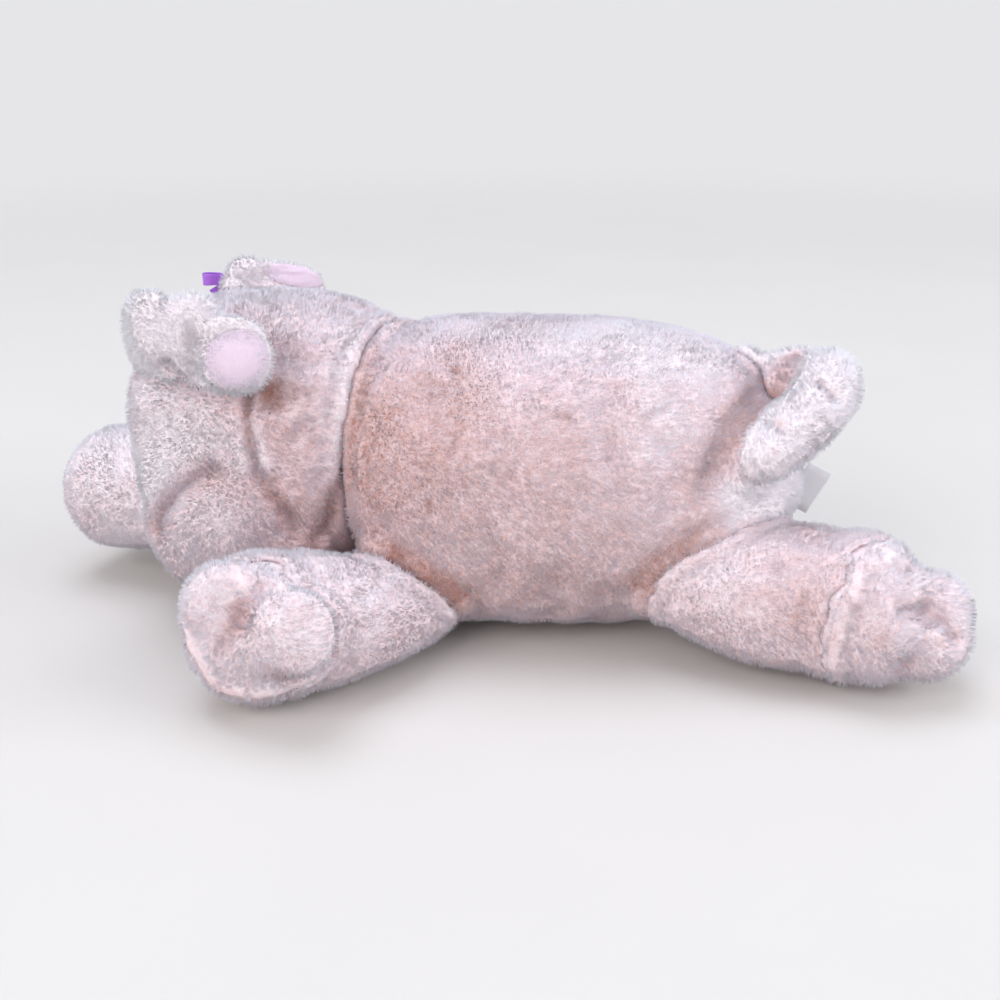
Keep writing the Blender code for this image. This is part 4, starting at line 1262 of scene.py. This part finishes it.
@dataclass
class Ribbon:
    """One strip of ribbon that takes the place, direction and size of a CAD piece."""

    node: str
    body: str
    form: RibbonForm
    thickness: float = 0.4 * MM

    def frame_of(self) -> tuple[Rows, Rows, Rows]:
        """Finds the CAD piece's middle, its main directions and its half sizes.

        Returns:
            The middle, three unit rows from longest to shortest, and three lengths.
        """
        places, _, _ = read_skin(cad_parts[self.node])
        middle = (places.min(axis=0) + places.max(axis=0)) / 2
        _, _, rows = np.linalg.svd(places - places.mean(axis=0), full_matrices=False)
        if self.form is RibbonForm.FOLD:
            rows = rows[[1, 0, 2]] if abs(rows[1][0]) > abs(rows[0][0]) else rows
            rows[0] *= -np.sign(rows[0][0])
        rows[2] = np.cross(rows[0], rows[1])
        spread = (places - middle) @ rows.T
        return middle + ((spread.max(axis=0) + spread.min(axis=0)) / 2) @ rows, rows, np.ptp(spread, axis=0) / 2

    def strip(self) -> tuple[Rows, Rows]:
        """Draws the ribbon's run seen from its edge, and its half width along the run.

        Returns:
            Points along the longest and shortest directions as shares, and width shares.
        """
        t = np.linspace(0, 1, 33)
        if self.form is RibbonForm.LOOP:
            turn = math.tau * t
            return np.stack([-np.cos(turn), 0.9 * np.sin(turn) * (0.35 + 0.65 * np.sin(turn / 2))], 1), (
                0.55 + 0.45 * np.sin(turn / 2))
        if self.form is RibbonForm.WRAP:
            turn = math.tau * t
            return np.stack([0.8 * np.cos(turn), 0.85 * np.sin(turn)], 1), 0.9 + 0.1 * np.cos(3 * turn)
        if self.form is RibbonForm.FOLD:
            turn = np.clip((t - 0.46) / 0.08, 0, 1) * math.pi
            run = 1 - 1.5 * np.minimum(np.clip(t / 0.46, 0, 1), np.clip((1 - t) / 0.46, 0, 1))
            return np.stack([run, 0.55 * np.cos(turn)], 1), np.ones(33)
        return np.stack([2 * t - 1, 0.5 * np.sin(math.tau * t)], 1), 0.7 + 0.3 * t

    def build(self, satin: Material) -> Object:
        """Makes the strip from a grid, thickens it and softens its edges.

        Args:
            satin: the ribbon's material.

        Returns:
            The finished ribbon.
        """
        middle, rows, half = self.frame_of()
        deselect()
        bpy.ops.mesh.primitive_grid_add(x_subdivisions=32, y_subdivisions=6, size=2.0)
        obj = bpy.context.object
        obj.name = f"{self.node}_cloth"
        flat, _, _ = read_skin(obj)
        run, wide = self.strip()
        at = np.clip((flat[:, 0] + 1) / 2 * 32, 0, 32)
        along = np.interp(at, np.arange(33), run[:, 0])
        off = np.interp(at, np.arange(33), run[:, 1])
        reach = np.interp(at, np.arange(33), wide) * flat[:, 1]
        room = np.maximum(half - self.thickness, 0.2 * MM)
        places = middle + (along * room[0])[:, None] * rows[0] + (reach * room[1])[:, None] * rows[1] + (
            off * room[2])[:, None] * rows[2]
        write_places(obj, places)
        modify(obj, "SOLIDIFY", thickness=self.thickness, offset=0.0)
        modify(obj, "BEVEL", width=self.thickness * 0.25, segments=1)
        bpy.ops.object.shade_smooth()
        obj.data.materials.append(satin)
        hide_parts(self.node)
        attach(obj, self.body)
        LOG.info("%s: %d faces", obj.name, len(obj.data.polygons))
        return obj


LEGS = ("front_left_leg_cover", "front_right_leg_cover", "hind_left_leg_cover", "hind_right_leg_cover")
TRICOT_TONES = ((0.0, "#DCC9DA"), (0.5, "#E6DAEA"), (1.0, "#F0ECF6"))
NEAR_LINING = (237.0, 359.0, 33.0, 30.0)
FAR_LINING = (297.0, 275.0, 31.0, 12.0)


@dataclass
class PlushPig:
    """The whole toy: its stuffed pieces, ears, ribbon, label and eyes."""

    ground: Material
    pile: Material

    def body(self) -> PlushPart:
        """The trunk with the rump's valley, the leg folds and small wrinkles of the flank."""
        # The strokes' tones paint shade and light: shade along the rump's valley, the leg folds, the neck seam and
        # the wrinkles, under the belly and on the left of the flank; light along the back, on the right of the
        # flank and on the rump's bulge. The strokes with no depth are only painted light or shade.
        seen = (
            Stroke(((760, 400), (745, 430), (725, 460), (708, 484)), 11, 6, -0.5, 14),
            Stroke(((350, 545), (400, 560), (440, 588), (458, 600)), 5, 1.5, -0.55, 8),
            Stroke(((644, 585), (668, 560), (700, 538), (745, 515)), 5, 1.5, -0.5, 8),
            Stroke(((375, 395), (370, 430), (362, 480)), 6, 1, -0.12, 14),
            Stroke(((376, 340), (364, 378), (356, 420), (350, 460), (349, 500)), 3, 1.2, -0.24, 4.5),
            Stroke(((452, 370), (463, 377)), 1.6, 0.8, -0.25),
            Stroke(((556, 414), (571, 418)), 1.6, 0.8, -0.22),
            Stroke(((463, 428), (446, 458)), 1.4, 0.8, -0.2),
            Stroke(((428, 503), (430, 511)), 1.6, 0.8, -0.25),
            Stroke(((575, 455), (600, 480)), 20, 0.5, -0.1, 24),
            Stroke(((410, 395), (440, 400)), 20, 0.5, -0.12, 26),
            Stroke(((480, 330), (620, 340), (700, 350)), 20, 0.0, 0.16, 26),
            Stroke(((745, 500), (770, 498), (792, 500)), 12, -1.5, 1.2, 16),
            Stroke(((400, 420), (395, 470)), 24, 0.0, -0.2, 34),
            Stroke(((480, 585), (600, 588)), 18, 0.0, -0.2, 18),
            Stroke(((650, 370), (665, 430)), 28, 0.0, 0.25, 36),
        )
        return PlushPart(
            "body_skin", ("body_cover", "body_filling"), "trunk", ("head_cover", "tail_cover", *LEGS),
            comb=(0.5, 0.0, -0.5), seed=11, fill=0.7, pile=2.3, density=1.5, tuft=3, gather_share=0.22,
            radius=0.2, strokes=seen, trimmed_round="care_label",
        )

    def head(self) -> PlushPart:
        """The head with its smile crease, cheek bulge and cheek seam, on both sides."""
        # The strokes' tones paint shade in the smile crease, the seam grooves, behind the ear, along the neck
        # groove and on shaded patches of the cheek; and light on the cheek bulges, on the ridges beside the ear, on
        # the lip by the neck and on the front of the face. The strokes with no depth are only painted light or
        # shade.
        seen = (
            Stroke(((212, 470), (196, 479), (180, 492), (166, 508), (158, 530)), 5, 5, -0.55, 6),
            Stroke(((215, 530),), 20, -4, 0.08),
            Stroke(((150, 545), (168, 572)), 15, -3.5, 0.05),
            Stroke(((215, 440), (175, 458), (150, 490)), 12, -2, 0.28),
            Stroke(((247, 398), (251, 440), (258, 476)), 2.4, 2.5, -0.4, 2.6),
            Stroke(((262, 478), (276, 500), (288, 516), (292, 530)), 4, 3.2, -0.4, 4.5),
            Stroke(((255, 400), (260, 440), (266, 470)), 3, -1.5, 0.4, 3),
            Stroke(((237, 400), (240, 440), (245, 468)), 3, -1.2, 0.3, 3.4),
            Stroke(((290, 500), (325, 520)), 9, -1, -0.12, 14),
            Stroke(((352, 340), (344, 400), (334, 470)), 8, -1.2, 0.3, 8),
            Stroke(((240, 404), (268, 396)), 8, 1, -0.5, 8),
            Stroke(((300, 400), (320, 440)), 24, 0.0, -0.12, 28),
            Stroke(((150, 400), (150, 470)), 16, 0.0, 0.3, 26),
            Stroke(((215, 530),), 16, 0.0, 0.15, 20),
            Stroke(((342, 468), (336, 495), (324, 528), (308, 550)), 4, 2.2, -0.4, 5),
        )
        # On the far side too, painted shade lies in the cheek crease and a little painted light on the cheek.
        far = (
            Stroke(width=5, depth=4, tone=-0.5, tone_width=6,
                   points=((-0.150, 0.075, 0.075), (-0.140, 0.082, 0.066), (-0.135, 0.084, 0.052))),
            Stroke(width=16, depth=-3, tone=0.05, points=((-0.118, 0.086, 0.048),)),
        )
        return PlushPart(
            "head_skin", ("head_cover", "head_filling"), "head",
            ("body_cover", "snout_cover", "left_ear_back", "right_ear_back", "front_left_leg_cover"),
            bend=Bend(11 * MM, 56 * MM, (-1.0, 0.0, 0.0)), far_node="snout_cover", comb=(0.5, -0.2, -0.4),
            seed=23, fill=0.65,
            pile=2.7, density=1.4, radius=0.205, tuft=4, tone=0.08, strokes=seen + far,
        )

    def snout(self) -> tuple[PlushPart, PlushPart]:
        """The short thick snout and the velour disc that closes it."""
        cover = PlushPart(
            "snout_skin", ("snout_cover", "snout_filling"), "head", ("head_cover", "nose_disc"),
            comb=(0.3, 0.2, -0.2), seed=31, voxel=3, swell=1.6, tone=0.26, pile=2.5, density=1.4,
            radius=0.195, tuft=4,
        )
        disc = PlushPart(
            "nose_skin", ("nose_disc",), "head", ("snout_cover",), comb=(0.0, 0.3, -0.3), seed=33,
            voxel=1.6, inset=0.4, swell=0.5, pile=0.9, density=2.4, radius=0.17, tone=-0.3,
            fill=0.4, smooth=2, refine=0,
        )
        return cover, disc

    def tail(self) -> PlushPart:
        """The curled tail with its pinched folds."""
        return PlushPart(
            "tail_skin", ("tail_cover", "tail_filling"), "tail", ("body_cover",),
            bend=Bend(-2 * MM, 14 * MM), comb=(-0.2, 0.0, -0.6), seed=37, voxel=2.5, inset=2.2,
            swell=1.2, pile=2.8, density=1.6, radius=0.19, tuft=4, tone=0.42,
            lumps=(Lump((782, 384), 9, 10, 6, 10), Lump((752, 352), 8, 4, 5, 4, -12)),
            # The strokes paint shade in the pinched folds, and the last one paints shadow in the gap between the
            # curl and the rump.
            strokes=(
                Stroke(((820, 383), (834, 398)), 2.5, 3, -0.3),
                Stroke(((770, 424), (781, 430)), 2.5, 2, -0.25),
                Stroke(((806, 349), (797, 356), (789, 362)), 2.5, 3, -0.35),
                Stroke(((782, 376), (778, 392)), 8, 0.0, -0.9, 9),
            ),
        )

    def legs(self) -> list[PlushPart]:
        """The four legs and their cloven hooves."""
        # The strokes' tones paint shade on the hind thigh and in its fold, and light on the front leg and on the
        # hind leg's bulge; those with no depth are only painted light or shade.
        leg_strokes = {
            "front_left": (Stroke(((350, 600), (365, 620)), 14, 0.0, 0.12, 18),),
            "front_right": (),
            "hind_left": (
                Stroke(((740, 570), (850, 590)), 30, 0.0, -0.16, 60),
                Stroke(((800, 600), (810, 625)), 10, 1, -0.25, 12),
                Stroke(((700, 590), (740, 570)), 18, -1, 0.12, 22),
            ),
            "hind_right": (),
        }
        # The hoof strokes paint shade in the clefts, the toe creases and the seams, and on a patch of the hind
        # hoof.
        hoof_strokes = {
            "front_left": (
                Stroke(((239, 622),), 4.5, 7, -1.4, 4.5),
                Stroke(((236, 630), (226, 642), (218, 652)), 3, 3, -0.4, 4),
                Stroke(((243, 612), (256, 600), (262, 588)), 3, 2.5, -0.25, 4),
                Stroke(((341, 602), (346, 622), (338, 648), (312, 674), (282, 680)), 2.5, 1.5, -0.35, 3),
                Stroke(((280, 676),), 5, 1.5, -0.6, 5),
            ),
            "front_right": (
                Stroke(width=5, depth=6, tone=-0.5, points=((-0.0535, 0.160, 0.030),)),
                Stroke(width=4, depth=4, tone=-0.3,
                       points=((-0.0535, 0.160, 0.030), (-0.0535, 0.150, 0.052), (-0.0535, 0.138, 0.066))),
            ),
            "hind_left": (
                Stroke(((928, 611),), 5, 5, -0.4, 6),
                Stroke(((905, 613), (925, 614), (940, 621), (950, 629), (957, 638)), 4, 4, -0.25, 4.5),
                Stroke(((903, 667),), 6, 3, -0.35, 8),
                Stroke(((860, 640),), 12, 0.0, -0.15, 14),
            ),
            "hind_right": (
                Stroke(width=5, depth=6, tone=-0.5, points=((0.052, 0.171, 0.030),)),
                Stroke(width=4, depth=4, tone=-0.3,
                       points=((0.052, 0.171, 0.030), (0.052, 0.160, 0.050), (0.052, 0.148, 0.063))),
            ),
        }
        toes = {
            "front_left": (
                Lump((224, 590), 15.5, 13.5, 8, 5.2),
                Lump((291, 632), 20.5, 19.5, 9, 6),
            ),
        }
        combs = {"front_left": (-0.7, -0.3, 0.0), "hind_left": (0.6, -0.2, -0.1)}
        parts = []
        for i, leg in enumerate(leg_strokes):
            comb = combs.get(leg, (0.0, 0.6, 0.0))
            parts.append(PlushPart(
                f"{leg}_leg_skin", (f"{leg}_leg_cover", f"{leg}_leg_filling"), f"{leg}_leg",
                ("body_cover", "head_cover", f"{leg}_hoof"), bend=Bend(), far_node=f"{leg}_hoof", comb=comb,
                seed=41 + i, voxel=3.5, pile=2.4, density=1.3, radius=0.195, tuft=4, tone=0.16,
                meet=0.7, strokes=leg_strokes[leg],
            ))
            parts.append(PlushPart(
                f"{leg}_hoof_skin", (f"{leg}_hoof",), f"{leg}_leg", (f"{leg}_leg_cover",), comb=comb, seed=51 + i,
                voxel=2.5, pile=2.9, density=1.35, radius=0.195, swell=1.4, tone=0.22,
                meet=0.7, strokes=hoof_strokes[leg], lean=0.25, tuft=5, gather_share=0.36,
                radiate=(239.0, 622.0) if leg == "front_left" else None, lumps=toes.get(leg, ()),
            ))
        return parts

    def ears(self) -> list[tuple[PlushPart, Lining]]:
        """The two ears, each with its lining."""
        near = PlushPart(
            "left_ear_skin", ("left_ear_back",), "left_ear", ("head_cover",), bend=Bend(-2 * MM, 10 * MM),
            comb=(0.3, 0.0, -0.5), seed=61, voxel=2, inset=1.4, swell=1, pile=3.0, density=1.9,
            radius=0.175, tone=0.47, smooth=2, refine=0, fill=0.3, tuft=4, gather_share=0.26,
            lumps=(
                Lump((156, 326), 12, 17, 8, 6, 8),
                Lump((232, 356), 17.5, 16.5, 9, 6),
                Lump((196, 316), 14, 11, 8, 7, -25),
            ),
            bare=(NEAR_LINING,),
            # The strokes paint shade in the groove between the lobes and in the slit below the tip.
            strokes=(
                Stroke(((190, 336), (193, 358), (195, 376)), 4, 4, -0.2, 5),
                Stroke(((167, 364), (176, 374), (185, 387)), 2.4, 4, -0.7, 3),
            ),
        )
        far = PlushPart(
            "right_ear_skin", ("right_ear_back",), "right_ear", ("head_cover",), bend=Bend(-2 * MM, 8 * MM),
            comb=(0.3, 0.0, -0.5), seed=62, voxel=2, inset=1.4, swell=1, pile=2.9, density=1.9,
            radius=0.18, tone=0.45, smooth=2, refine=0, fill=0.3,
            lumps=(Lump((244, 268), 10, 7.5, 6, 4, 15),), bare=(FAR_LINING,),
        )
        linings = (
            Lining("left_ear_lining_cloth", "left_ear_lining", "left_ear", NEAR_LINING[:2], 33.0, 30.0, -20.0),
            Lining("right_ear_lining_cloth", "right_ear_lining", "right_ear", FAR_LINING[:2], 31.0, 12.0, 8.0),
        )
        return [(near, linings[0]), (far, linings[1])]

    def build(self) -> None:
        """Builds every piece in turn."""
        parts = [self.body(), self.head(), *self.snout(), self.tail(), *self.legs()]
        for part in parts:
            part.build(self.ground, self.pile)
        tricot = PlushGround("brushed_polyester_tricot", TRICOT_TONES, 0.45, 6.0).material()
        for ear, lining in self.ears():
            ear.build(self.ground, self.pile)
            lining.build(ear, tricot)
        self.trim()

    def trim(self) -> None:
        """Adds the nostrils, the bow and the label, and finishes the eyes."""
        felt = SatinWeave("wool_felt", "#B06A74", "#8E4E5A", 0.8, 0.95, 0.1).material()
        for node in ("nostril_left", "nostril_right"):
            part = PlushPart(f"{node}_patch", (node,), "head", (), seed=71, voxel=0.5, inset=0.0, swell=0.1,
                             pile=0.3, density=4.0, radius=0.08, smooth=2, refine=0, fill=0.1)
            part.build(felt, self.pile)
        ribbon = SatinWeave("polyester_satin_ribbon", "#B06CE0", "#7E3CB4").material()
        for node, form in (
            ("bow_loop_left", RibbonForm.LOOP), ("bow_loop_right", RibbonForm.LOOP),
            ("bow_tail_left", RibbonForm.TAIL), ("bow_tail_right", RibbonForm.TAIL), ("bow_knot", RibbonForm.WRAP),
        ):
            Ribbon(node, "right_ear", form).build(ribbon)
        woven = SatinWeave("polyester_satin_label", "#EDEFF2", "#D5DADF").material()
        label = Ribbon("care_label", "label", RibbonForm.FOLD, 0.25 * MM).build(woven)
        eye = MouldedPlastic("abs_eye", "#0B0909").material()
        washer = MouldedPlastic("nylon_washer", "#E8E6E0", 0.4, 0.0).material()
        for node, finish in (
            ("eye_left", eye), ("eye_right", eye), ("eye_left_washer", washer), ("eye_right_washer", washer),
        ):
            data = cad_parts[node].data
            data.materials.clear()
            data.materials.append(finish)


def main() -> None:
    """Builds the camera, the studio and every piece."""
    logging.basicConfig(level=logging.INFO, format="%(name)s %(message)s")
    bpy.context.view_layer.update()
    CAMERA.make()
    Studio().build(StudioPaint().material())
    PlushPig(PlushGround().material(), PlushPile().material()).build()


if __name__ == "__main__":
    main()
